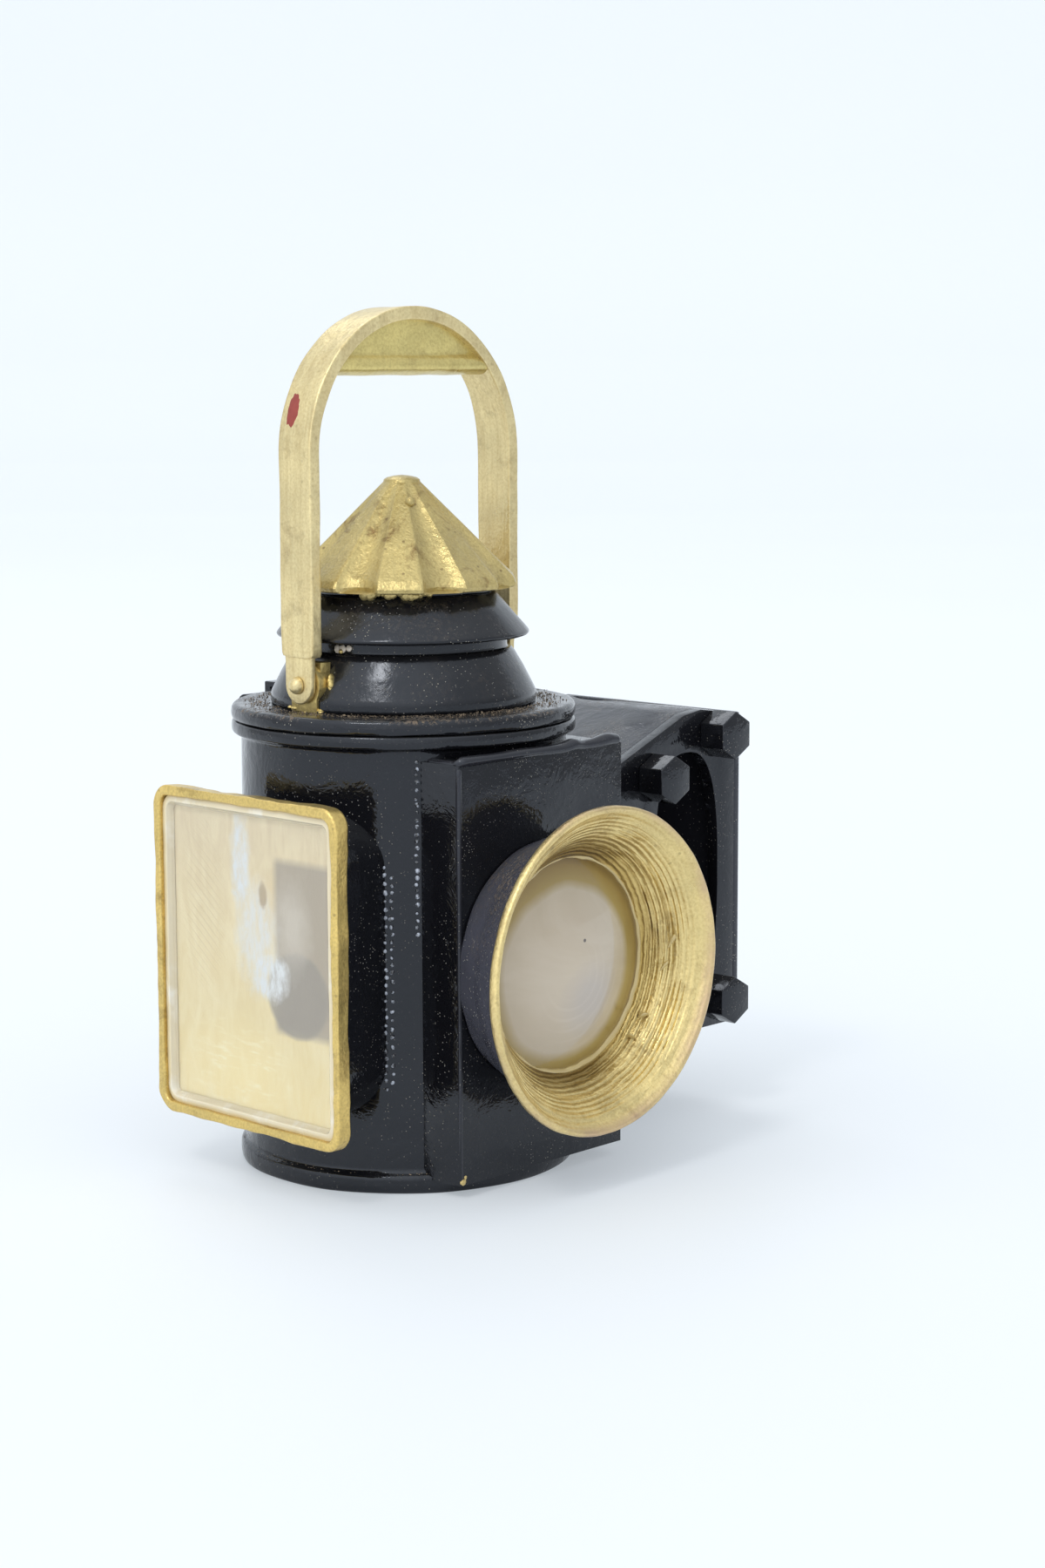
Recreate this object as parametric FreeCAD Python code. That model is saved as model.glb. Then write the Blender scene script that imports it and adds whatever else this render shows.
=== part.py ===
import FreeCAD, Part
import math
import os

# Small hand lamp that shelters a tealight: round black body, hinged lid with a stepped
# roof, bull's-eye lens in front, square window on one side, bolted side box on the other.
# Units are millimetres. The origin is the centre of the underside, +Z is up, the lens
# looks along -Y, the window along -X and the side box stands out along +X.

os.makedirs("parts", exist_ok=True)
V = FreeCAD.Vector

# Body
BODY_R = 23.7
BODY_WALL = 1.2
BODY_IN_R = BODY_R - BODY_WALL
BODY_TOP = 65.0
RIM_R = 25.1
RIM_H = 1.8
RIM_CHAMFER = 0.5
RIM_BLEND = 0.6
FOOT_R = 24.7
FOOT_H = 2.6
FOOT_CHAMFER = 0.6
FOOT_BLEND = 0.8
BASE_T = 1.6
PORT_Y0 = -30.0
PORT_Y1 = -12.0
LENS_PORT_HALF_W = 13.0
LENS_PORT_HALF_H = 14.0
WINDOW_PORT_HALF_W = 11.0
WINDOW_PORT_MARGIN = 6.0

# Lens housing: a box on the front that widens towards the body
LENS_X = 2.8
LENS_Z = 31.8
HOUSING_HALF_W = 16.7
HOUSING_SPREAD = 0.13
HOUSING_FACE_Y = -25.1
HOUSING_BACK_Y = -12.0
HOUSING_Z0 = 2.0
HOUSING_Z1 = 61.4
HOUSING_WALL = 1.4
HOUSING_HOLE_R = 14.0
HOUSING_HOLE_DEPTH = 10.0

# Lens barrel, flared bezel and glass, all about the lens axis
BARREL_R0 = 17.2
BARREL_R1 = 22.4
BARREL_WALL = 1.1
BEZEL_R = 23.3
BEZEL_FRONT = 37.8
BEZEL_RIM_T = 1.2
BEZEL_THROAT = 30.5
BEZEL_THROAT_T = 0.8
BEZEL_BACK_STEP = 2.2
BEZEL_BACK_RISE = 2.0
BEZEL_BACK_FLAT = 1.0
BEZEL_LIP_W = 1.1
BEZEL_LIP_CREST = 0.6
BEZEL_LIP_DROP = 0.4
BEZEL_LIP_ROUND = 0.3
FLARE_OUT_W = 3.9
FLARE_OUT_DROP = 2.9
FLARE_IN_W = 1.7
FLARE_IN_RISE = 2.1
THROAT_ROUND_W = 0.5
THROAT_ROUND_H = 0.3
GLASS_R = 16.0
GLASS_BULGE = 3.0
GLASS_RIM_T = 2.2
GLASS_GAP = 0.05
GLASS_SETBACK = 1.0
GASKET_W = 2.2
GASKET_T = 0.8
RING_W = 1.7

# Window on the left side
WINDOW_X = -31.2
WINDOW_Y = 0.4
WINDOW_HALF_W = 19.3
WINDOW_Z0 = 8.7
WINDOW_Z1 = 56.4
WINDOW_BAND = 1.3
WINDOW_DEPTH = 2.3
WINDOW_CORNER = 3.0
PANE_SETBACK = 0.2
PANE_GAP = 0.1
BACKING_T = 0.7
LIGHT_SLOT = (-13.0, -4.0, 22.0, 46.0)
NECK_HALF_W = 15.0
NECK_MARGIN = 2.0
NECK_WALL = 1.2
NECK_CORNER = 8.0

# Side box on the right
BOX_X1 = 55.0
BOX_HALF_W = 18.2
BOX_Z0 = 13.4
BOX_Z1 = 62.2
BOX_WALL = 1.4
COVER_T = 2.0
BOX_X0 = 10.0
BOX_NECK_X = 22.0
BOX_NECK_DROP = 7.5
BOX_FLARE_X = 41.5
BOX_FLARE_RISE = 0.5
BOX_CREST_X = 45.5
BOX_CREST_RISE = 1.1
SOCKET_R = 11.0
SOCKET_Y = 4.0
SOCKET_PAST_END = 0.6
SOCKET_OVERRUN = 10.0
SLOT_X = 42.3
SLOT_HALF_W = 7.4
SLOT_HALF_H = 19.2
SLOT_SQUARENESS = 2.7
SLOT_POINTS = 28
BOLT_R = 2.0
BOLT_GAP = 0.05
BOLT_HEAD_R = 3.7
BOLT_HEAD_H = 4.6
BOLT_TIP_Y = -12.0
BOSS_R = 3.0
BOSS_END_Y = -11.0
BOLT_PLACES = ((34.4, 54.0), (48.6, 59.4), (48.8, 18.0), (34.4, 22.0))

# Lid and roof
LID_Z0 = 65.1
LID_Z1 = 67.3
LID_R = 25.1
LID_CHAMFER = 0.6
SPIGOT_GAP = 0.5
SPIGOT_WALL = 1.0
SPIGOT_H = 1.6
VENT_R = 12.0
ROOF_WALL = 1.2
ROOF_FOOT_R = 19.3
ROOF_FOOT_H = 1.6
ROOF_TOP_R = 16.0
ROOF_TOP_Z = 75.2
ROOF_EDGE_OUT = 0.2
ROOF_EDGE_IN = 0.3
ROOF_EDGE_DROP = 0.5
ROOF_FOOT_STEP = 0.4
ROOF_NECK_R = 15.1
ROOF_NECK_WALL = 1.0
ROOF_NECK_Z = 77.0
SKIRT_TIP_R = 18.4
SKIRT_Z0 = 77.0
SKIRT_TOP_R = 13.3
SKIRT_Z1 = 83.3
SKIRT_EDGE_W = 1.4
SKIRT_EDGE_CUT = 0.3
SKIRT_EDGE_LOW = 0.5
SKIRT_EDGE_BACK = 0.5
SKIRT_EDGE_HIGH = 1.1
SKIRT_SHOULDER_W = 1.9
SKIRT_SHOULDER_DROP = 2.0
SKIRT_TOP_WALL = 1.0
STAY_R = 11.6
STAY_HALF_W = 0.8
STAY_HALF_T = 0.5
STAYS = 4
CHIMNEY_R = 10.0
CHIMNEY_WALL = 0.8
CHIMNEY_VENT_R = 1.7
CHIMNEY_VENT_Z = 79.4
CHIMNEY_VENTS = 8
CHIMNEY_TOP = 86.3
CHIMNEY_LIFT = 1.0
COLLAR_R = 13.1
CAP_R = 16.8
CAP_Z0 = 83.9
CAP_EDGE_H = 1.2
CAP_EDGE_CUT = 0.3
CAP_UNDERCUT = 1.6
CAP_SEAT_IN = 2.4
CAP_SEAT_Z = 85.5
CAP_TIP_R = 2.7
CAP_Z1 = 99.6
CAP_POINT_H = 0.4
CAP_TIP_BEVEL_W = 0.6
CAP_TIP_BEVEL_H = 0.5
CAP_HOLLOW_H = 9.0
CAP_HOLLOW_R0 = 11.4
CAP_HOLLOW_R1 = 2.4
CAP_HOLLOW_START = 0.1
CAP_FLUTES = 8
CAP_FLUTE_START = 247.0
FLUTE_R = 4.8
FLUTE_TIP_R = 0.9
FLUTE_OFFSET = 2.6
FLUTE_FOOT_OUT = 1.0
FLUTE_FOOT_DROP = 0.4
FLUTE_TIP_OFFSET = 0.6

# Handle
PIVOT_Z = 71.1
STRAP_OUT_X = 20.8
STRAP_T = 1.9
STRAP_IN_X = STRAP_OUT_X - STRAP_T
STRAP_HALF_W = 3.3
STRAP_TOP_Z = 124.0
STRAP_END_Z = 75.0
ARCH_Z = STRAP_TOP_Z - STRAP_OUT_X
TONGUE_STEP = 0.2
TONGUE_T = 1.0
TONGUE_HALF_W = 2.7
TONGUE_OUT_X = STRAP_OUT_X - TONGUE_STEP
TONGUE_IN_X = TONGUE_OUT_X - TONGUE_T
TONGUE_GAP = 0.1
WEB_Z0 = 114.2
WEB_HALF_W = 2.2
LUG_IN_X = 16.8
LUG_OUT_X = TONGUE_IN_X - TONGUE_GAP
SHOULDER_GAP = 0.2
LUG_SHOULDER_X = STRAP_IN_X - SHOULDER_GAP
LUG_HALF_W = 2.6
LUG_DISC_R = 3.2
LUG_TOP_Z = 74.3
RIVET_R = 0.9
RIVET_GAP = 0.05
RIVET_HEAD_R = 1.25
RIVET_HEAD_X = TONGUE_OUT_X + TONGUE_GAP

# Lid hinge
HINGE_Y = 27.3
HINGE_Z = 65.05
KNUCKLE_R = 1.6
HINGE_PIN_R = 0.7
HINGE_PIN_HALF = 7.6
HINGE_GAP = 0.05
LEAF_HALF_W = 7.0
LEAF_T = 1.0
LEAF_LOW = 12.0
LEAF_ROOT_Y = 22.0
LEAF_KNUCKLE_GAP = 0.6
LEAF_ARM_DROP = 0.4
BODY_KNUCKLES = ((-7.0, -2.4), (2.4, 7.0))
LID_KNUCKLES = ((-2.2, 2.2),)
LID_LEAF_Y0 = 21.0
LID_LEAF_T = 0.9
LID_ARM_IN = 0.4
LID_ARM_OUT = 0.6 * KNUCKLE_R
LID_ARM_LIFT = 0.9

# Candle, its holder and the reflector
CANDLE_R = 19.0
CANDLE_H = 15.0
CANDLE_FLOOR = 2.6
TRAY_GAP = 0.6
TRAY_WALL = 1.0
TRAY_LIP_H = 3.5
CUP_WALL = 0.4
WAX_DROP = 1.6
WICK_R = 0.6
WICK_H = 6.0
REFLECTOR_T = 0.6
REFLECTOR_HALF_W = 13.0
REFLECTOR_CLEAR = 2.0
REFLECTOR_TOP_GAP = 4.0

# Cutting tools run past what they cut by this much
OVERRUN = 1.0

shapes = {}


def box(x0, x1, y0, y1, z0, z1):
    """Plain block between two corners."""
    return Part.makeBox(x1 - x0, y1 - y0, z1 - z0, V(x0, y0, z0))


def cylinder(radius, z0, z1):
    """Upright cylinder on the lamp's axis."""
    return Part.makeCylinder(radius, z1 - z0, V(0, 0, z0))


def tube(outer, inner, z0, z1):
    """Upright tube on the lamp's axis."""
    return cylinder(outer, z0, z1).cut(cylinder(inner, z0 - OVERRUN, z1 + OVERRUN))


def rod(radius, start, end):
    """Round bar from one point to another."""
    along = end - start
    return Part.makeCylinder(radius, along.Length, start, along)


def turned(points):
    """Solid of revolution about Z from a closed outline of (radius, height) points."""
    path = [V(r, 0, h) for r, h in points]
    face = Part.Face(Part.makePolygon(path + path[:1]))
    return face.revolve(V(0, 0, 0), V(0, 0, 1), 360)


def facing_front(shape):
    """Turn a shape made along +Z so that it looks along -Y on the lens axis."""
    placed = shape.copy()
    placed.rotate(V(0, 0, 0), V(1, 0, 0), 90)
    placed.translate(V(LENS_X, 0, LENS_Z))
    return placed


def side_block(x0, x1, half_w, z0, z1):
    """Block centred on the XZ plane, between two sides given in either order."""
    return box(min(x0, x1), max(x0, x1), -half_w, half_w, z0, z1)


def rounded_plate(x0, x1, half_w, z0, z1, corner, mid_y=0.0):
    """Rounded rectangle in the YZ plane, thickened along X."""
    plate = box(x0, x1, mid_y - half_w, mid_y + half_w, z0, z1)
    along_x = [e for e in plate.Edges if e.BoundBox.XLength > e.BoundBox.YLength + e.BoundBox.ZLength]
    return plate.makeFillet(corner, along_x)


def ruled_plate(outline, y0, y1):
    """Flat outline of (x, z) points, thickened along Y."""
    path = [V(x, y0, z) for x, z in outline]
    face = Part.Face(Part.makePolygon(path + path[:1]))
    return face.extrude(V(0, y1 - y0, 0))


def hexagon(radius, start, height):
    """Hexagonal bar along -Y with two corners up and down."""
    corners = []
    for k in range(6):
        angle = math.pi * (2 * k + 1) / 6
        corners.append(start + V(radius * math.cos(angle), 0, radius * math.sin(angle)))
    face = Part.Face(Part.makePolygon(corners + corners[:1]))
    return face.extrude(V(0, -height, 0))


def arch_solid(half_x, z_low, half_y):
    """Upright slab with a half-round top, centred on the lamp's axis."""
    legs = box(-half_x, half_x, -half_y, half_y, z_low, ARCH_Z)
    crown = Part.makeCylinder(half_x, 2 * half_y, V(0, -half_y, ARCH_Z), V(0, 1, 0))
    return legs.fuse(crown)


# ---- body ----

foot_outline = [(FOOT_R - FOOT_CHAMFER, 0), (FOOT_R, FOOT_CHAMFER), (FOOT_R, FOOT_H),
                (BODY_R, FOOT_H + FOOT_BLEND)]
rim_z = BODY_TOP - RIM_H
rim_outline = [(BODY_R, rim_z - RIM_BLEND), (RIM_R, rim_z), (RIM_R, BODY_TOP - RIM_CHAMFER),
               (RIM_R - RIM_CHAMFER, BODY_TOP)]
body_envelope = turned([(0, 0)] + foot_outline + rim_outline + [(0, BODY_TOP)])
body = turned([(BODY_IN_R, 0)] + foot_outline + rim_outline + [(BODY_IN_R, BODY_TOP)])
lens_port = box(LENS_X - LENS_PORT_HALF_W, LENS_X + LENS_PORT_HALF_W, PORT_Y0, PORT_Y1,
                LENS_Z - LENS_PORT_HALF_H, LENS_Z + LENS_PORT_HALF_H)
window_port = box(PORT_Y0, PORT_Y1, -WINDOW_PORT_HALF_W, WINDOW_PORT_HALF_W,
                  WINDOW_Z0 + WINDOW_PORT_MARGIN, WINDOW_Z1 - WINDOW_PORT_MARGIN)
shapes["body_shell"] = body.cut(lens_port).cut(window_port)
shapes["base_plate"] = cylinder(BODY_IN_R, 0, BASE_T)

# ---- lens housing and lens, drawn along +Z and turned to the front ----


def housing_block(half_w, y0, y1, z0, z1):
    """Upright block on the lens axis whose sides spread towards the body."""
    wide = half_w + HOUSING_SPREAD * (y1 - y0)
    corners = [V(LENS_X - half_w, y0, z0), V(LENS_X + half_w, y0, z0),
               V(LENS_X + wide, y1, z0), V(LENS_X - wide, y1, z0)]
    face = Part.Face(Part.makePolygon(corners + corners[:1]))
    return face.extrude(V(0, 0, z1 - z0))


housing_envelope = housing_block(HOUSING_HALF_W, HOUSING_FACE_Y, HOUSING_BACK_Y, HOUSING_Z0, HOUSING_Z1)
housing_hollow = housing_block(HOUSING_HALF_W - HOUSING_WALL, HOUSING_FACE_Y + HOUSING_WALL,
                               HOUSING_BACK_Y + OVERRUN, HOUSING_Z0 + HOUSING_WALL, HOUSING_Z1 - HOUSING_WALL)
face_h = -HOUSING_FACE_Y
housing_hole = facing_front(cylinder(HOUSING_HOLE_R, face_h - HOUSING_HOLE_DEPTH, face_h + OVERRUN))
shapes["lens_housing"] = housing_envelope.cut(housing_hollow).cut(body_envelope).cut(housing_hole)

rim_back = BEZEL_FRONT - BEZEL_RIM_T
barrel_in_r = BARREL_R1 - BARREL_WALL
shapes["lens_barrel"] = facing_front(turned([
    (BARREL_R0 - BARREL_WALL, face_h), (BARREL_R0, face_h), (BARREL_R1, rim_back), (barrel_in_r, rim_back)]))
throat_back = BEZEL_THROAT - BEZEL_THROAT_T
shapes["lens_bezel"] = facing_front(turned([
    (GLASS_R, throat_back), (GLASS_R + BEZEL_BACK_FLAT, throat_back),
    (GLASS_R + BEZEL_BACK_STEP, throat_back + BEZEL_BACK_RISE), (barrel_in_r, rim_back), (BEZEL_R, rim_back),
    (BEZEL_R, BEZEL_FRONT - BEZEL_LIP_ROUND), (BEZEL_R - BEZEL_LIP_CREST, BEZEL_FRONT),
    (BEZEL_R - BEZEL_LIP_W, BEZEL_FRONT - BEZEL_LIP_DROP),
    (GLASS_R + FLARE_OUT_W, BEZEL_FRONT - FLARE_OUT_DROP),
    (GLASS_R + FLARE_IN_W, BEZEL_THROAT + FLARE_IN_RISE),
    (GLASS_R + THROAT_ROUND_W, BEZEL_THROAT), (GLASS_R, BEZEL_THROAT - THROAT_ROUND_H)]))

dome_r = (GLASS_R ** 2 + GLASS_BULGE ** 2) / (2 * GLASS_BULGE)
glass_seat = BEZEL_THROAT - GLASS_SETBACK
glass_back = glass_seat - GLASS_RIM_T
gasket_back = glass_back - GASKET_T
glass_dome = Part.makeSphere(dome_r, V(0, 0, glass_seat + GLASS_BULGE - dome_r))
glass_stock = cylinder(GLASS_R - GLASS_GAP, glass_back, glass_seat + GLASS_BULGE + OVERRUN)
shapes["front_lens"] = facing_front(glass_dome.common(glass_stock))
shapes["lens_gasket"] = facing_front(tube(GLASS_R, GLASS_R - GASKET_W, gasket_back, glass_back))
shapes["lens_retaining_ring"] = facing_front(tube(GLASS_R, GLASS_R - RING_W, face_h, gasket_back))

# ---- window ----

frame_back = WINDOW_X + WINDOW_DEPTH
pane_half_w = WINDOW_HALF_W - WINDOW_BAND
pane_z0 = WINDOW_Z0 + WINDOW_BAND
pane_z1 = WINDOW_Z1 - WINDOW_BAND
pane_corner = WINDOW_CORNER - WINDOW_BAND
backing_front = frame_back - BACKING_T
frame_block = rounded_plate(WINDOW_X, frame_back, WINDOW_HALF_W,
                            WINDOW_Z0, WINDOW_Z1, WINDOW_CORNER, WINDOW_Y)
frame_hole = rounded_plate(WINDOW_X - OVERRUN, frame_back + OVERRUN, pane_half_w,
                           pane_z0, pane_z1, pane_corner, WINDOW_Y)
shapes["window_frame"] = frame_block.cut(frame_hole)
shapes["window_glass"] = rounded_plate(WINDOW_X + PANE_SETBACK, backing_front - PANE_GAP, pane_half_w,
                                       pane_z0, pane_z1, pane_corner, WINDOW_Y)
slot_y0, slot_y1, slot_z0, slot_z1 = LIGHT_SLOT
light_slot = box(backing_front, frame_back, slot_y0, slot_y1, slot_z0, slot_z1)
backing = rounded_plate(backing_front, frame_back, pane_half_w, pane_z0, pane_z1, pane_corner, WINDOW_Y)
shapes["window_backing"] = backing.cut(light_slot)
shapes["window_light_pane"] = light_slot
neck_z0 = WINDOW_Z0 + NECK_MARGIN
neck_z1 = WINDOW_Z1 - NECK_MARGIN
neck = rounded_plate(frame_back, PORT_Y1, NECK_HALF_W, neck_z0, neck_z1, NECK_CORNER)
neck_hollow = rounded_plate(frame_back - OVERRUN, PORT_Y1 + OVERRUN, NECK_HALF_W - NECK_WALL,
                            neck_z0 + NECK_WALL, neck_z1 - NECK_WALL, NECK_CORNER - NECK_WALL)
shapes["window_neck"] = neck.cut(neck_hollow).cut(body_envelope)

# ---- side box: flared shell, end plate, slotted cover and four bolts ----

end_x = BOX_X1 - BOX_WALL
mid_z = (BOX_Z0 + BOX_Z1) / 2
cover_front = -BOX_HALF_W
cover_back = cover_front + COVER_T


def box_outline(x_start, x_end, inset):
    """Side box seen from the front: narrow at the body, flaring out to the end plate."""
    narrow_low = BOX_Z0 + BOX_NECK_DROP + inset
    narrow_high = BOX_Z1 - BOX_NECK_DROP - inset
    return [(x_start, narrow_low), (BOX_NECK_X, narrow_low), (BOX_FLARE_X, BOX_Z0 + inset),
            (x_end, BOX_Z0 + inset), (x_end, BOX_Z1 - inset), (BOX_CREST_X, BOX_Z1 + BOX_CREST_RISE - inset),
            (BOX_FLARE_X, BOX_Z1 + BOX_FLARE_RISE - inset), (BOX_NECK_X, narrow_high), (x_start, narrow_high)]


shell = ruled_plate(box_outline(BOX_X0, end_x, 0), cover_back, BOX_HALF_W)
shell_hollow = ruled_plate(box_outline(BOX_X0 - OVERRUN, end_x + OVERRUN, BOX_WALL), cover_back - OVERRUN,
                           BOX_HALF_W - BOX_WALL)
socket_x = BOX_X1 + SOCKET_PAST_END
socket = rod(SOCKET_R, V(socket_x, SOCKET_Y, 0), V(socket_x, SOCKET_Y, BODY_TOP + SOCKET_OVERRUN))
shapes["side_box_shell"] = shell.cut(shell_hollow).cut(socket).cut(body_envelope).cut(housing_envelope)
shapes["side_box_end_plate"] = box(end_x, BOX_X1, cover_front, BOX_HALF_W, BOX_Z0, BOX_Z1)

slot_curve = []
for k in range(SLOT_POINTS):
    angle = 2 * math.pi * k / SLOT_POINTS
    c = math.cos(angle)
    s = math.sin(angle)
    reach_x = SLOT_HALF_W * math.copysign(abs(c) ** (2 / SLOT_SQUARENESS), c)
    reach_z = SLOT_HALF_H * math.copysign(abs(s) ** (2 / SLOT_SQUARENESS), s)
    slot_curve.append(V(SLOT_X + reach_x, cover_front - OVERRUN, mid_z + reach_z))
slot_edge = Part.BSplineCurve()
slot_edge.interpolate(Points=slot_curve, PeriodicFlag=True)
slot = Part.Face(Part.Wire(slot_edge.toShape())).extrude(V(0, COVER_T + 2 * OVERRUN, 0))
cover = ruled_plate(box_outline(BOX_X0, end_x, 0), cover_front, cover_back)
cover = cover.cut(slot).cut(body_envelope).cut(housing_envelope)
bolts = []
bosses = []
room = ruled_plate(box_outline(BOX_X0, end_x, BOX_WALL), cover_back, BOX_HALF_W - BOX_WALL)
for x, z in BOLT_PLACES:
    seat = V(x, cover_front, z)
    tip = V(x, BOLT_TIP_Y, z)
    root = V(x, cover_front - OVERRUN, z)
    clearance = rod(BOLT_R + BOLT_GAP, root, tip)
    cover = cover.cut(clearance)
    bolts.append(hexagon(BOLT_HEAD_R, seat, BOLT_HEAD_H).fuse(rod(BOLT_R, root, tip)))
    boss = rod(BOSS_R, V(x, cover_back, z), V(x, BOSS_END_Y, z)).common(room)
    bosses.append(boss.cut(clearance))
shapes["side_box_cover"] = cover
shapes["side_box_bolts"] = Part.makeCompound(bolts)
shapes["side_box_bosses"] = Part.makeCompound(bosses)

# ---- candle and reflector inside the body ----

tray_in_r = CANDLE_R + TRAY_GAP
tray_r = tray_in_r + TRAY_WALL
tray_top = CANDLE_FLOOR + TRAY_LIP_H
shapes["candle_tray"] = turned([(0, BASE_T), (tray_r, BASE_T), (tray_r, tray_top), (tray_in_r, tray_top),
                                (tray_in_r, CANDLE_FLOOR), (0, CANDLE_FLOOR)])
cup_in_r = CANDLE_R - CUP_WALL
cup_top = CANDLE_FLOOR + CANDLE_H
wax_top = cup_top - WAX_DROP
shapes["candle_cup"] = cylinder(CANDLE_R, CANDLE_FLOOR, cup_top).cut(
    cylinder(cup_in_r, CANDLE_FLOOR + CUP_WALL, cup_top + OVERRUN))
shapes["candle_wax"] = cylinder(cup_in_r, CANDLE_FLOOR + CUP_WALL, wax_top)
shapes["candle_wick"] = rod(WICK_R, V(0, 0, wax_top), V(0, 0, wax_top + WICK_H))
reflector = tube(BODY_IN_R, BODY_IN_R - REFLECTOR_T,
                 cup_top + REFLECTOR_CLEAR, BODY_TOP - REFLECTOR_TOP_GAP)
shapes["reflector"] = reflector.common(box(-REFLECTOR_HALF_W, REFLECTOR_HALF_W, 0, BODY_R, 0, BODY_TOP))

# ---- lid and roof ----

spigot_r = BODY_IN_R - SPIGOT_GAP
spigot_z = LID_Z0 - SPIGOT_H
shapes["lid_ring"] = turned([
    (VENT_R, LID_Z0), (spigot_r - SPIGOT_WALL, LID_Z0), (spigot_r - SPIGOT_WALL, spigot_z),
    (spigot_r, spigot_z), (spigot_r, LID_Z0), (LID_R - LID_CHAMFER, LID_Z0),
    (LID_R, LID_Z0 + LID_CHAMFER), (LID_R, LID_Z1 - LID_CHAMFER),
    (LID_R - LID_CHAMFER, LID_Z1), (VENT_R, LID_Z1)])
foot_top = LID_Z1 + ROOF_FOOT_H
foot_in_r = ROOF_FOOT_R - ROOF_WALL
roof_edge = (ROOF_TOP_R + ROOF_EDGE_OUT, ROOF_TOP_Z - ROOF_EDGE_DROP)
shapes["roof_cone"] = turned([
    (foot_in_r, LID_Z1), (ROOF_FOOT_R, LID_Z1), (ROOF_FOOT_R, foot_top), roof_edge,
    (ROOF_TOP_R - ROOF_EDGE_IN, ROOF_TOP_Z), (ROOF_NECK_R, ROOF_TOP_Z), (ROOF_NECK_R, ROOF_NECK_Z),
    (ROOF_NECK_R - ROOF_NECK_WALL, ROOF_NECK_Z), (ROOF_NECK_R - ROOF_NECK_WALL, ROOF_TOP_Z),
    (CHIMNEY_R, ROOF_TOP_Z), (CHIMNEY_R, ROOF_TOP_Z - ROOF_WALL),
    (ROOF_TOP_R - ROOF_WALL, ROOF_TOP_Z - ROOF_WALL), (foot_in_r, foot_top - ROOF_FOOT_STEP)])
roof_envelope = turned([(0, LID_Z1 - OVERRUN), (ROOF_FOOT_R, LID_Z1 - OVERRUN), (ROOF_FOOT_R, foot_top),
                        roof_edge, (0, ROOF_TOP_Z - ROOF_EDGE_DROP)])
chimney = tube(CHIMNEY_R, CHIMNEY_R - CHIMNEY_WALL, LID_Z1 + CHIMNEY_LIFT, CHIMNEY_TOP)
for k in range(CHIMNEY_VENTS):
    angle = 2 * math.pi * (k + 0.5) / CHIMNEY_VENTS
    start = V(0, 0, CHIMNEY_VENT_Z)
    reach = V(2 * CHIMNEY_R * math.cos(angle), 2 * CHIMNEY_R * math.sin(angle), 0)
    chimney = chimney.cut(rod(CHIMNEY_VENT_R, start, start + reach))
shapes["chimney"] = chimney
skirt_under = SKIRT_Z1 - ROOF_WALL
shapes["roof_skirt"] = turned([
    (SKIRT_TIP_R - SKIRT_EDGE_W, SKIRT_Z0), (SKIRT_TIP_R - SKIRT_EDGE_CUT, SKIRT_Z0),
    (SKIRT_TIP_R, SKIRT_Z0 + SKIRT_EDGE_LOW), (SKIRT_TIP_R - SKIRT_EDGE_BACK, SKIRT_Z0 + SKIRT_EDGE_HIGH),
    (SKIRT_TOP_R + SKIRT_SHOULDER_W, SKIRT_Z1 - SKIRT_SHOULDER_DROP), (SKIRT_TOP_R, SKIRT_Z1),
    (CHIMNEY_R, SKIRT_Z1), (CHIMNEY_R, skirt_under), (SKIRT_TOP_R - SKIRT_TOP_WALL, skirt_under)])
stays = []
for k in range(STAYS):
    stay = box(STAY_R - STAY_HALF_T, STAY_R + STAY_HALF_T, -STAY_HALF_W, STAY_HALF_W, ROOF_TOP_Z, skirt_under)
    stay.rotate(V(0, 0, 0), V(0, 0, 1), 360 / STAYS * (k + 0.5))
    stays.append(stay)
shapes["skirt_stays"] = Part.makeCompound(stays)
shapes["cap_collar"] = tube(COLLAR_R, CHIMNEY_R, SKIRT_Z1, CAP_SEAT_Z)

cap = turned([(0, CAP_SEAT_Z), (CAP_R - CAP_SEAT_IN, CAP_SEAT_Z), (CAP_R - CAP_UNDERCUT, CAP_Z0),
              (CAP_R, CAP_Z0 + CAP_EDGE_CUT), (CAP_R, CAP_Z0 + CAP_EDGE_H),
              (CAP_TIP_R, CAP_Z1 - CAP_TIP_BEVEL_H), (CAP_TIP_R - CAP_TIP_BEVEL_W, CAP_Z1),
              (0, CAP_Z1 + CAP_POINT_H)])
hollow_at = V(0, 0, CAP_SEAT_Z - CAP_HOLLOW_START)
cap = cap.cut(Part.makeCone(CAP_HOLLOW_R0, CAP_HOLLOW_R1, CAP_HOLLOW_H, hollow_at))
flute_low = V(CAP_R + FLUTE_OFFSET + FLUTE_FOOT_OUT, 0, CAP_Z0 + FLUTE_OFFSET - FLUTE_FOOT_DROP)
flute_high = V(CAP_TIP_R + FLUTE_TIP_OFFSET, 0, CAP_Z1 + FLUTE_TIP_OFFSET)
flute_run = flute_high - flute_low
for k in range(CAP_FLUTES):
    flute = Part.makeCone(FLUTE_R, FLUTE_TIP_R, flute_run.Length, flute_low, flute_run)
    flute.rotate(V(0, 0, 0), V(0, 0, 1), CAP_FLUTE_START + 360 / CAP_FLUTES * k)
    cap = cap.cut(flute)
shapes["roof_cap"] = cap

# ---- handle, its lugs and rivets ----

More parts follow.
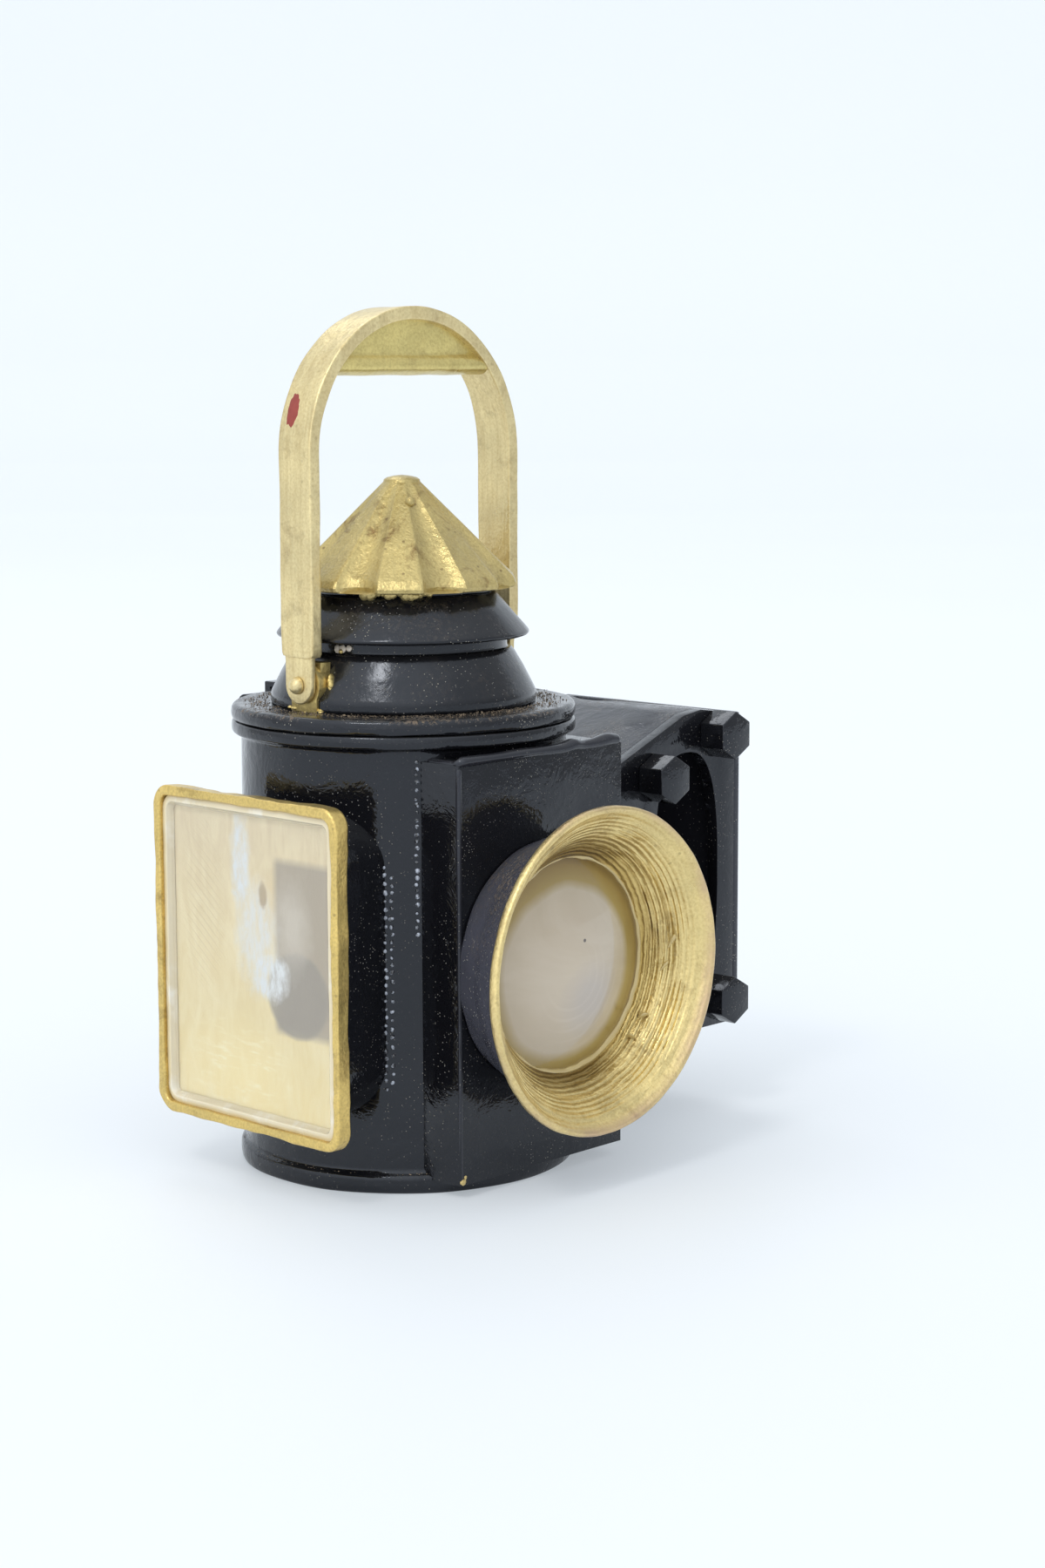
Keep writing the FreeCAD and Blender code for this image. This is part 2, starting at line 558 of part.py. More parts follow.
strap = arch_solid(STRAP_OUT_X, STRAP_END_Z, STRAP_HALF_W).cut(
    arch_solid(STRAP_IN_X, STRAP_END_Z - OVERRUN, STRAP_HALF_W + OVERRUN))
for name, side in (("left", -1), ("right", 1)):
    pivot_at = [V(side * x, 0, PIVOT_Z) for x in (LUG_IN_X, LUG_SHOULDER_X, LUG_OUT_X, TONGUE_IN_X,
                                                   TONGUE_OUT_X, RIVET_HEAD_X)]
    lug_in, shoulder, lug_out, tongue_in, tongue_out, head_at = pivot_at

    tongue = side_block(tongue_in.x, tongue_out.x, TONGUE_HALF_W, PIVOT_Z, STRAP_END_Z + OVERRUN)
    tongue = tongue.fuse(rod(TONGUE_HALF_W, tongue_in, tongue_out))
    strap = strap.fuse(tongue).cut(rod(RIVET_R + RIVET_GAP, lug_out, head_at))

    block = side_block(lug_in.x, shoulder.x, LUG_HALF_W, LID_Z1, LUG_TOP_Z)
    foot = side_block(lug_in.x, lug_out.x, LUG_HALF_W, LID_Z1, PIVOT_Z)
    lug = block.fuse(foot).fuse(rod(LUG_DISC_R, lug_in, lug_out))
    lug = lug.cut(rod(RIVET_R, lug_in, lug_out)).cut(roof_envelope)
    shapes["handle_lug_" + name] = lug.removeSplitter()

    head = Part.makeSphere(RIVET_HEAD_R, head_at)
    outward = side * 2 * RIVET_HEAD_R
    head = head.common(side_block(head_at.x, head_at.x + outward, RIVET_HEAD_R,
                                  PIVOT_Z - RIVET_HEAD_R, PIVOT_Z + RIVET_HEAD_R))
    shapes["pivot_rivet_" + name] = rod(RIVET_R, lug_in, head_at).fuse(head).cut(roof_envelope)
shapes["handle_strap"] = strap.removeSplitter()
web_room = box(-STRAP_OUT_X, STRAP_OUT_X, -STRAP_HALF_W, STRAP_HALF_W, WEB_Z0, STRAP_TOP_Z)
shapes["handle_web"] = arch_solid(STRAP_IN_X, ARCH_Z - OVERRUN, WEB_HALF_W).common(web_room)

# ---- hinge at the back of the rim ----

leaf_back = HINGE_Y - KNUCKLE_R + LEAF_T


def knuckles(spans, leaf):
    """Hinge barrels on the pin, each joined to its leaf."""
    shape = None
    for x0, x1 in spans:
        barrel = rod(KNUCKLE_R, V(x0, HINGE_Y, HINGE_Z), V(x1, HINGE_Y, HINGE_Z))
        piece = barrel.fuse(leaf(x0, x1))
        shape = piece if shape is None else shape.fuse(piece)
    return shape.cut(rod(HINGE_PIN_R + HINGE_GAP, V(-LEAF_HALF_W - OVERRUN, HINGE_Y, HINGE_Z),
                         V(LEAF_HALF_W + OVERRUN, HINGE_Y, HINGE_Z)))


def body_leaf(x0, x1):
    """Plate on the body below the rim, with an arm up to one barrel."""
    plate = box(-LEAF_HALF_W, LEAF_HALF_W, LEAF_ROOT_Y, leaf_back,
                HINGE_Z - LEAF_LOW, HINGE_Z - KNUCKLE_R - LEAF_KNUCKLE_GAP)
    return plate.fuse(box(x0, x1, LEAF_ROOT_Y, leaf_back, HINGE_Z - LEAF_LOW, HINGE_Z - LEAF_ARM_DROP))


def lid_leaf(x0, x1):
    """Flat strip on the lid that turns down behind its barrel."""
    strip = box(x0, x1, LID_LEAF_Y0, HINGE_Y, LID_Z1, LID_Z1 + LID_LEAF_T)
    return strip.fuse(box(x0, x1, HINGE_Y - LID_ARM_IN, HINGE_Y + LID_ARM_OUT,
                          HINGE_Z + LID_ARM_LIFT, LID_Z1 + LID_LEAF_T))


shapes["body_hinge_leaf"] = knuckles(BODY_KNUCKLES, body_leaf).cut(body_envelope)
shapes["lid_hinge_leaf"] = knuckles(LID_KNUCKLES, lid_leaf)
shapes["hinge_pin"] = rod(HINGE_PIN_R, V(-HINGE_PIN_HALF, HINGE_Y, HINGE_Z),
                          V(HINGE_PIN_HALF, HINGE_Y, HINGE_Z))

for name, shape in shapes.items():
    shape.exportStep("parts/" + name + ".step")
    print(name, "valid" if shape.isValid() else "INVALID", len(shape.Solids), round(shape.Volume, 1))
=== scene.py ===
import math
import random

import bmesh
import bpy
from mathutils import Matrix, Vector, noise


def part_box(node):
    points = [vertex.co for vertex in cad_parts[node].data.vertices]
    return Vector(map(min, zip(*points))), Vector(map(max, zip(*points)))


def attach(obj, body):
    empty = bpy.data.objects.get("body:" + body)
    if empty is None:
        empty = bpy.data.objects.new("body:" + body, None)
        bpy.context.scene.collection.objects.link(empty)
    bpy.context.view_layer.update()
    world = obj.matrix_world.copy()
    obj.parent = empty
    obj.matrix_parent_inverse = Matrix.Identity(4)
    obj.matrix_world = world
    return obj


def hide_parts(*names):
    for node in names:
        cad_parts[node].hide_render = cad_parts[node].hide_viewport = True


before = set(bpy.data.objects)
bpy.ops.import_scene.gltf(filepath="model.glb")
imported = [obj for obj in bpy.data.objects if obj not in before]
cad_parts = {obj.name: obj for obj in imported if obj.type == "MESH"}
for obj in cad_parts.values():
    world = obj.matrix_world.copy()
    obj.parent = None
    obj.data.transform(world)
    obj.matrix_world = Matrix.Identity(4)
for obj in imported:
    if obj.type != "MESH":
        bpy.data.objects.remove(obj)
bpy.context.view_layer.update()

MM = 0.001
TAU = 2 * math.pi
UP = Vector((0, 0, 1))

# ---------- places read from the CAD parts, in mm


def low(node):
    """Lowest corner of a CAD node's box."""
    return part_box(node)[0] / MM


def high(node):
    """Highest corner of a CAD node's box."""
    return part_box(node)[1] / MM


BODY_WALL = 1.2
LID_GAP = 0.1
BODY_IN_R = high("base_plate").x
BODY_R = BODY_IN_R + BODY_WALL
RIM_R = high("lid_ring").x
LID_BOTTOM = high("body_shell").z + LID_GAP
LID_TOP = low("roof_cone").z
LENS_X = (low("lens_bezel").x + high("lens_bezel").x) / 2
LENS_Z = (low("lens_bezel").z + high("lens_bezel").z) / 2
BEZEL_R = (high("lens_bezel").x - low("lens_bezel").x) / 2
PIVOT_Z = (low("pivot_rivet_left").z + high("pivot_rivet_left").z) / 2
STRAP_OUT_X = high("handle_strap").x
ARCH_Z = high("handle_strap").z - STRAP_OUT_X
SIDES = (("left", -1), ("right", 1))

# ---------- mesh helpers, which work in mm


def shade(mesh, smooth_angle):
    """Smooth shading, except across edges sharper than the angle."""
    mesh.shade_smooth()
    mesh.set_sharp_from_angle(angle=math.radians(smooth_angle))


def finished(name, bm, smooth_angle=40, unit=MM):
    """Turn a bmesh into a smooth-shaded object in metres that keeps its real edges sharp."""
    bmesh.ops.scale(bm, vec=(unit, unit, unit), verts=bm.verts)
    bmesh.ops.recalc_face_normals(bm, faces=bm.faces)
    mesh = bpy.data.meshes.new(name)
    bm.to_mesh(mesh)
    bm.free()
    shade(mesh, smooth_angle)
    piece = bpy.data.objects.new(name, mesh)
    bpy.context.scene.collection.objects.link(piece)
    return piece


def settle(piece, smooth_angle):
    """Apply a piece's modifiers for good."""
    graph = bpy.context.evaluated_depsgraph_get()
    mesh = bpy.data.meshes.new_from_object(piece.evaluated_get(graph))
    piece.modifiers.clear()
    piece.data = mesh
    shade(mesh, smooth_angle)
    return piece


def eased(corners, radius, cuts=4):
    """An outline with every corner rounded, as a list of 2D points."""
    largest_share = 0.38
    points = []
    for k, corner in enumerate(corners):
        here = Vector(corner)
        before, after = [Vector(corners[(k + step) % len(corners)]) - here for step in (-1, 1)]
        before = before.normalized() * min(radius, before.length * largest_share)
        after = after.normalized() * min(radius, after.length * largest_share)
        points.append(here + before * 1.25)
        for j in range(cuts + 1):
            t = j / cuts
            points.append((here + before) * (1 - t) ** 2 + here * 2 * t * (1 - t) + (here + after) * t ** 2)
        points.append(here + after * 1.25)
    return points


def filled_in(points, step, closed=True):
    """The same outline with long stretches divided."""
    out = []
    count = len(points) if closed else len(points) - 1
    for k in range(count):
        a = Vector(points[k])
        b = Vector(points[(k + 1) % len(points)])
        parts = max(1, int((b - a).length / step))
        out += [a.lerp(b, j / parts) for j in range(parts)]
    if not closed:
        out.append(Vector(points[-1]))
    return out


def polar(angle, radius=1, height=0):
    """Point at an angle round Z."""
    return Vector((radius * math.cos(angle), radius * math.sin(angle), height))


def ring(centre, across, up, radius, sides):
    """Loop of points round a centre, in the plane of two directions."""
    turns = [polar(TAU * j / sides, radius) for j in range(sides)]
    return [centre + across * turn.x + up * turn.y for turn in turns]


def skin(name, loops, capped=False, smooth_angle=40):
    """Quads between loops of equal length. The last loop joins the first, or both ends are capped."""
    bm = bmesh.new()
    rings = [[bm.verts.new(p) for p in loop] for loop in loops]
    pairs = list(zip(rings, rings[1:]))
    if not capped:
        pairs.append((rings[-1], rings[0]))
    size = len(rings[0])
    for a, b in pairs:
        for k in range(size):
            bm.faces.new((a[k], a[(k + 1) % size], b[(k + 1) % size], b[k]))
    if capped:
        bm.faces.new(rings[0])
        bm.faces.new(list(reversed(rings[-1])))
    return finished(name, bm, smooth_angle)


def turned(name, outline, steps=176, shape=None, smooth_angle=40):
    """Revolve a closed (radius, height) outline about Z. shape may bend each point."""
    loops = []
    for r, h in outline:
        loop = []
        for k in range(steps):
            angle = TAU * k / steps
            loop.append(polar(angle, *(shape(r, h, angle) if shape else (r, h))))
        loops.append(loop)
    return skin(name, loops, smooth_angle=smooth_angle)


def lathed(name, corners, radius, step, **settings):
    """Revolve an outline with rounded corners and its long stretches divided."""
    return turned(name, filled_in(eased(corners, radius), step), **settings)


def dome(name, outline):
    """Revolve an open outline whose first and last points lie on the axis."""
    steps = 128
    bm = bmesh.new()
    rings = [[bm.verts.new(polar(TAU * k / steps, r, h)) for k in range(steps)] for r, h in outline[1:-1]]
    first = bm.verts.new((0, 0, outline[0][1]))
    last = bm.verts.new((0, 0, outline[-1][1]))
    for k in range(steps):
        n = (k + 1) % steps
        bm.faces.new((first, rings[0][k], rings[0][n]))
        bm.faces.new((last, rings[-1][n], rings[-1][k]))
        for a, b in zip(rings, rings[1:]):
            bm.faces.new((a[k], b[k], b[n], a[n]))
    return finished(name, bm)


def face_front(piece):
    """Turn a piece made about +Z so that it looks along -Y on the lens axis."""
    lens_axis = Matrix.Translation(Vector((LENS_X, 0, LENS_Z)) * MM)
    piece.data.transform(lens_axis @ Matrix.Rotation(math.pi / 2, 4, "X"))
    return piece


def wavy(piece, depth, spacing, seed):
    """Push the surface in and out a little, as hand-laid paint does."""
    shift = Vector((seed * 3.7, seed * 1.3, seed * 2.1))
    mesh = piece.data
    moves = [v.normal * noise.noise(v.co / (spacing * MM) + shift) * depth * MM
             for v in mesh.vertices]
    for v, move in zip(mesh.vertices, moves):
        v.co += move
    mesh.update()
    return piece


def rounded_over(piece, width, segments, angle, smooth_angle):
    """Round off a piece's edges that are sharper than the angle."""
    bevel = piece.modifiers.new("round", "BEVEL")
    bevel.width = width * MM
    bevel.segments = segments
    bevel.limit_method = "ANGLE"
    bevel.angle_limit = math.radians(angle)
    return settle(piece, smooth_angle)


def softened(node, width, segments=3, angle=30):
    """A copy of a CAD node with its edges rounded over, which stands for that node."""
    bm = bmesh.new()
    bm.from_mesh(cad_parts[node].data)
    bmesh.ops.remove_doubles(bm, verts=bm.verts, dist=0.001 * MM)
    bmesh.ops.dissolve_limit(bm, angle_limit=math.radians(1), verts=bm.verts, edges=bm.edges)
    return rounded_over(finished(node + "_finish", bm, unit=1), width, segments, angle, 50)


def carve(piece, cutter):
    """Cut one mesh out of another."""
    cut = piece.modifiers.new("cut", "BOOLEAN")
    cut.operation = "DIFFERENCE"
    cut.solver = "EXACT"
    cut.object = cutter
    settle(piece, 40)
    bpy.data.objects.remove(cutter)


def block(name, lowest, highest):
    """Plain cutter block, never shown."""
    bm = bmesh.new()
    bmesh.ops.create_cube(bm, size=1)
    size = Vector(highest) - Vector(lowest)
    middle = (Vector(highest) + Vector(lowest)) / 2
    bmesh.ops.scale(bm, vec=size, verts=bm.verts)
    bmesh.ops.translate(bm, vec=middle, verts=bm.verts)
    return finished(name, bm)


def scatter(name, spots, seed, squash, rounds=1):
    """Many small lumps joined in one mesh. Each spot is (place, outward, radius)."""
    rng = random.Random(seed)
    bm = bmesh.new()
    for place, outward, radius in spots:
        made = bmesh.ops.create_icosphere(bm, subdivisions=rounds, radius=radius)
        turn = Vector(outward).to_track_quat("Z", "Y").to_matrix().to_4x4()
        spin = Matrix.Rotation(rng.uniform(0, TAU), 4, "Z")
        stretch = Matrix.Diagonal((1, rng.uniform(0.75, 1.3), squash, 1))
        matrix = Matrix.Translation(place) @ turn @ spin @ stretch
        bmesh.ops.transform(bm, matrix=matrix, verts=made["verts"])
    return finished(name, bm, 60)


# ---------- materials


class Value:
    """A node's output, ready for plain arithmetic."""

    def __init__(self, nodes, socket):
        self.nodes = nodes
        self.socket = socket

    def __add__(self, other):
        return self.nodes.math("ADD", self, other)

    def __sub__(self, other):
        return self.nodes.math("SUBTRACT", self, other)

    def __mul__(self, other):
        return self.nodes.math("MULTIPLY", self, other)

    def __truediv__(self, other):
        return self.nodes.math("DIVIDE", self, other)


def set_stops(ramp, stops):
    """Give a colour ramp its (position, colour) stops."""
    while len(ramp.elements) < len(stops):
        ramp.elements.new(0.5)
    for element, (position, colour) in zip(ramp.elements, stops):
        element.position = position
        element.color = (*colour, 1)


class Nodes:
    """Short way to build a node material."""

    # the colour sockets of a mix node, by number, because its sockets share their names
    MIX_SHARE, MIX_A, MIX_B, MIX_RESULT = 0, 6, 7, 2

    def __init__(self, name):
        self.material = bpy.data.materials.new(name)
        self.material.use_nodes = True
        self.tree = self.material.node_tree
        self.shader = self.tree.nodes["Principled BSDF"]
        self.place = self.add("ShaderNodeTexCoord", {}, "Object")

    def feed(self, node, inputs):
        """Give each input a number, a vector or a colour, or link a Value to it."""
        for key, value in inputs.items():
            socket = node.inputs[key]
            if isinstance(value, Value):
                self.tree.links.new(value.socket, socket)
            elif socket.type == "RGBA":
                socket.default_value = (*value, 1)
            else:
                socket.default_value = value

    def add(self, kind, inputs, output, **settings):
        """New node with its settings and inputs. Gives one of its outputs."""
        node = self.tree.nodes.new(kind)
        for key, value in settings.items():
            setattr(node, key, value)
        self.feed(node, inputs)
        return Value(self, node.outputs[output])

    def split(self, vector):
        """The three coordinates of a vector."""
        first = self.add("ShaderNodeSeparateXYZ", {"Vector": vector}, "X")
        return [Value(self, socket) for socket in first.socket.node.outputs]

    def mapped(self, scale, turn=(0, 0, 0)):
        """The place on the piece, turned and scaled."""
        inputs = {"Vector": self.place, "Scale": scale, "Rotation": turn}
        return self.add("ShaderNodeMapping", inputs, "Vector")

    def noise(self, scale, detail, rough=0.5, vector=None, distortion=0):
        """Cloudy noise between 0 and 1."""
        inputs = {"Vector": vector or self.place, "Scale": scale, "Detail": detail, "Roughness": rough,
                  "Distortion": distortion}
        return self.add("ShaderNodeTexNoise", inputs, "Fac")

    def cells(self, scale, share, start, end, vector=None):
        """Spots that fade from 1 to 0 between two distances, in cells whose tint is above a level."""
        inputs = {"Vector": vector or self.place, "Scale": scale}
        distance = self.add("ShaderNodeTexVoronoi", inputs, "Distance")
        tint = Value(self, distance.socket.node.outputs["Color"])
        chosen = self.ramp(tint, (share[0], 0), (share[1], 1))
        return self.ramp(distance, (start, 1), (end, 0)) * chosen

    def ramp(self, value, *stops):
        """Colour ramp. A number as a colour is a grey."""
        output = self.add("ShaderNodeValToRGB", {"Fac": value}, "Color")
        set_stops(output.socket.node.color_ramp,
                  [(at, colour if isinstance(colour, tuple) else (colour,) * 3) for at, colour in stops])
        return output

    def math(self, operation, a, b=0.5, clamp=False):
        """Arithmetic node. b keeps the node's own default where the operation takes one value."""
        return self.add("ShaderNodeMath", {0: a, 1: b}, "Value", operation=operation, use_clamp=clamp)

    def highest(self, a, b):
        """The larger of two values."""
        return self.math("MAXIMUM", a, b)

    def distance(self, a, b):
        """Length of a vector from its two coordinates."""
        return self.math("SQRT", a * a + b * b)

    def mix(self, share, a, b):
        """Blend from colour a to colour b."""
        inputs = {self.MIX_SHARE: share, self.MIX_A: a, self.MIX_B: b}
        return self.add("ShaderNodeMix", inputs, self.MIX_RESULT, data_type="RGBA")

    def facing(self, axis, start, end, normal="Normal"):
        """1 where the surface faces along an axis, 0 where it turns away."""
        way = self.split(self.add("ShaderNodeNewGeometry", {}, normal))[axis]
        return self.ramp(way, (start, 0), (end, 1))

    def bump(self, value, distance, strength, normal=None):
        """Fine relief from a value, on top of an earlier relief where there is one."""
        inputs = {"Height": value, "Distance": distance, "Strength": strength}
        if normal is not None:
            inputs["Normal"] = normal
        return self.add("ShaderNodeBump", inputs, "Normal")

    def set(self, **values):
        """Set the shader's inputs. Gives the finished material."""
        self.feed(self.shader, {key.replace("_", " "): value for key, value in values.items()})
        return self.material


def shaded(tint, share):
    """A darker or lighter version of a colour."""
    return tuple(channel * share for channel in tint)


def enamel(name, dust=0.35, grit=0, gloss=0.12, specks=0.5, wave=1, pale=1):
    """Thick black gloss paint with lint, pale dust specks and, where asked, brown grit."""
    n = Nodes(name)
    patches = n.ramp(n.noise(75, 4), (0.44, 0.1), (0.62, 1))
    dots = n.cells(2600, (0.66, 0.7), 0.14, 0.26) * patches * specks
    lint = n.cells(640, (0.66, 0.68), 0.04, 0.075, n.mapped((1, 1, 2.2), (0.6, 0.3, 0.9)))
    dots = n.highest(dots, lint * specks)
    film = n.facing(2, 0.3, 0.9) * n.ramp(n.noise(150, 6, 0.65), (0.35, 0), (0.75, dust))
    crumbs = n.ramp(n.noise(1500, 4, 0.7), (0.5, 0), (0.6, 1))
    crumbs = crumbs * n.ramp(n.noise(110, 4), (0.42, 0), (0.62, grit)) * n.facing(2, 0.1, 0.6)
    paint = n.mix(n.noise(35, 3), shaded((0.0035, 0.0035, 0.0045), pale), shaded((0.008, 0.008, 0.01), pale))
    colour = n.mix(film, paint, (0.06, 0.058, 0.055))
    colour = n.mix(crumbs, colour, (0.19, 0.14, 0.095))
    colour = n.mix(dots, colour, (0.52, 0.48, 0.4))
    dulled = n.highest(crumbs, dots)
    smear = n.ramp(n.noise(42, 5, 0.6, distortion=0.6), (0.35, gloss * 0.4), (0.75, gloss * 1.6))
    normal = n.bump(n.noise(60, 2), 0.0005, 0.8 * wave)
    normal = n.bump(n.noise(210, 4, 0.65, distortion=0.5), 0.00022, 0.8 * wave, normal)
    normal = n.bump(n.noise(900, 3), 0.00003, 0.6, normal)
    normal = n.bump(dulled, 0.00012, 0.8, normal)
    return n.set(Base_Color=colour, Roughness=n.highest(dulled * 0.9, smear + film * 0.3), Normal=normal,
                 Specular_IOR_Level=0.5, Specular_Tint=(0.86, 0.91, 1))


def turned_rings(n, colour, normal):
    """Wandering turned rings with painted shade in their grooves, painted shade deep in the throat and at its
    top and bottom, and a rubbed lip for the bezel's gold.
    """
    x, _, z = n.split(n.place)
    dx = x - (LENS_X - 0.6) * MM
    dz = z - (LENS_Z + 0.4) * MM
    reach = n.distance(dx, dz)
    turn = reach * (TAU / (0.6 * MM)) + n.noise(150, 5, 0.68) * 9
    wave = n.math("SINE", turn) * 0.5 + 0.5
    share = reach / (BEZEL_R * MM)
    fade = n.ramp(share, (0.7, 1), (0.93, 0.12)) * n.ramp(n.noise(80, 3), (0.3, 0.35), (0.62, 1))
    # painted shade: the bottoms of the grooves are darkened to brown
    cut = n.ramp(wave, (0, 1), (0.45, 0)) * fade
    colour = n.mix(cut * 0.62, colour, (0.26, 0.155, 0.03))
    normal = n.bump(wave * fade, 0.0003, 0.9, normal)
    # painted shade deep in the flare, darker towards the throat
    colour = n.mix(n.ramp(share, (0.69, 0.55), (0.78, 0)), colour, (0.42, 0.27, 0.05))
    # painted shade at the top and bottom of the throat
    poles = n.ramp(n.math("ABSOLUTE", dz) / reach, (0.8, 0), (0.95, 1))
    throat_shade = n.ramp(share, (0.69, 0.75), (0.8, 0)) * poles
    colour = n.mix(throat_shade, colour, (0.13, 0.07, 0.015))
    wear_and_highlight = n.ramp(share, (0.945, 0), (0.985, 1)) * n.ramp(n.noise(90, 5, 0.7), (0.4, 0.15), (0.6, 0.8))
    return n.mix(wear_and_highlight, colour, (0.6, 0.42, 0.27)), normal


def gold(name, light=(0.78, 0.6, 0.25), deep=(0.3, 0.19, 0.05), grime=0.5, brushed=None, metallic=0.8,
         grain=1, rings=False):
    """Satin gold paint: fine metallic grain, brown grime and, where asked, brushing or turned rings with
    painted shade.
    """
    n = Nodes(name)
    blotch = n.noise(130, 5, 0.62)
    fine = n.noise(2600, 2, 0.5)
    colour = n.mix(n.ramp(blotch, (0.3, 0), (0.7, 1)), shaded(light, 0.78), light)
    colour = n.mix(n.ramp(fine, (0.33, 0.26), (0.6, 0)), colour, deep)
    stains = n.ramp(n.noise(210, 6, 0.72, distortion=0.4), (0.55, 0), (0.74, 1)) * grime
    colour = n.mix(stains, colour, (0.15, 0.075, 0.022))
    dark_dots = n.cells(650, (0.7, 0.73), 0.1, 0.2) * (0.55 * grime)
    colour = n.mix(dark_dots, colour, (0.1, 0.05, 0.02))
    normal = n.bump(fine, 0.00006 * grain, 0.6)
    if brushed is not None:
        streaks = n.noise(1, 3, 0.55, vector=n.mapped(brushed))
        colour = n.mix(n.ramp(streaks, (0.3, 0.3), (0.62, 0)), colour, deep)
        normal = n.bump(streaks, 0.0001, 0.5, normal)
    if rings:
        colour, normal = turned_rings(n, colour, normal)
    normal = n.bump(n.noise(420, 4, 0.6), 0.0002 * grain, 0.8, normal)
    rough = n.ramp(blotch, (0.3, 0.26), (0.7, 0.42))
    return n.set(Base_Color=colour, Metallic=metallic, Roughness=rough, Normal=normal)


def plain_metal(name, tint, rough, scale=900):
    """Bare metal with faint smudges."""
    n = Nodes(name)
    smudge = n.noise(180, 4)
    return n.set(Base_Color=n.mix(smudge, shaded(tint, 0.82), tint), Metallic=1,
                 Roughness=n.ramp(smudge, (0.3, rough * 0.8), (0.7, rough * 1.3)),
                 Normal=n.bump(n.noise(scale, 3), 0.00003, 0.4))


def toned(name, noise_scale, detail, tints, bump, scale=None, **values):
    """Plain material whose tone and fine relief both follow one noise, between two tints."""
    n = Nodes(name)
    tone = n.noise(noise_scale, detail, vector=scale and n.mapped(scale))
    return n.set(Base_Color=n.mix(tone, *tints), Normal=n.bump(tone, *bump), **values)


def oval_mask(n, axis_a, axis_b, centre, size, soft, noise_scale, wobble):
    """1 inside a soft ragged oval on two coordinates, fading to 0 at its edge."""
    a, b = [(axis - middle * MM) / (half * MM) for axis, middle, half in zip((axis_a, axis_b), centre, size)]
    reach = n.distance(a, b)
    ragged = reach + (n.noise(noise_scale, 5, 0.7) - 0.5) * wobble
    return n.ramp(ragged, (1 - soft, 1), (1, 0))


def span_mask(n, axis, start, end, soft):
    """1 between two places on an axis, with soft ends."""
    rise = n.math("DIVIDE", axis - start * MM, soft * MM, clamp=True)
    return rise * n.math("DIVIDE", axis - end * MM, -soft * MM, clamp=True)


def lens_material():
    """Cast lens: clear golden rim round a milky middle with faint swirls."""
    n = Nodes("lens_glass_look")
    x, _, z = n.split(n.place)
    reach = n.distance(x - (LENS_X - 1.6) * MM, z - (LENS_Z - 0.7) * MM)
    share = reach / (16 * MM) + (n.noise(110, 3) - 0.5) * 0.1
    milk = n.ramp(share, (0, (0.52, 0.43, 0.315)), (0.4, (0.49, 0.405, 0.3)), (0.72, (0.46, 0.38, 0.275)))
    swirl = n.noise(1, 4, 0.62, vector=n.mapped((45, 20, 80), (0, 0.5, 0)), distortion=1.5)
    milk = n.mix(n.ramp(swirl, (0.42, 0), (0.75, 0.35)), milk, (0.64, 0.57, 0.47))
    arcs = n.math("SINE", reach * (TAU / (1.5 * MM)) + swirl * 9)
    lower = oval_mask(n, x, z, (LENS_X + 1, LENS_Z - 4.5), (9, 8), 0.6, 200, 0.3)
    arcs = n.ramp(arcs, (0.35, 0), (0.9, 0.22)) * lower * n.ramp(share, (0.2, 0), (0.34, 1))
    milk = n.mix(arcs, milk, (0.66, 0.585, 0.46))
    speck = oval_mask(n, x, z, (LENS_X + 1, LENS_Z + 3.6), (0.35, 0.3), 0.4, 200, 0.2)
    milk = n.mix(speck, milk, (0.1, 0.08, 0.07))
    cool = oval_mask(n, x, z, (LENS_X + 2.5, LENS_Z - 5), (7, 6), 0.7, 200, 0.3)
    milk = n.mix(cool * 0.5, milk, (0.4, 0.365, 0.36))
    clear = n.ramp(share, (0.82, (0.33, 0.235, 0.07)), (0.94, (0.27, 0.175, 0.04)), (1.02, (0.17, 0.1, 0.02)))
    colour = n.mix(n.ramp(share, (0.73, 0), (0.82, 1)), milk, clear)
    return n.set(Base_Color=colour, Roughness=0.3, Normal=n.bump(n.noise(170, 3), 0.00006, 0.4),
                 Coat_Weight=1, Coat_Roughness=0.05, IOR=1.45)


def pane_material():
    """Thin clear pane: nearly all of what is behind it, plus a surface reflection."""
    n = Nodes("window_glass_look")
    haze = n.ramp(n.noise(90, 5, 0.6), (0.4, 0.02), (0.75, 0.14))
    return n.set(Base_Color=(0.99, 0.98, 0.95), Roughness=haze, Transmission_Weight=1, IOR=1.03,
                 Coat_Weight=1, Coat_Roughness=0.06, Normal=n.bump(n.noise(160, 3), 0.00005, 0.3))


def bevel_material():
    """Milky cast edge of the pane, with a few painted white highlight lines."""
    n = Nodes("pane_edge_look")
    # painted highlight: near-white streaks along the pane's edge, mixed over its milky colour
    wear_and_highlight = n.ramp(n.noise(1, 4, 0.65, vector=n.mapped((60, 140, 90))), (0.54, 0), (0.7, 0.8))
    colour = n.mix(wear_and_highlight, n.mix(n.noise(70, 3), (0.66, 0.55, 0.34), (0.78, 0.69, 0.5)), (0.88, 0.86, 0.8))
    return n.set(Base_Color=colour, Roughness=0.22, Coat_Weight=1, Coat_Roughness=0.05,
                 Normal=n.bump(n.noise(300, 3), 0.0001, 0.5))


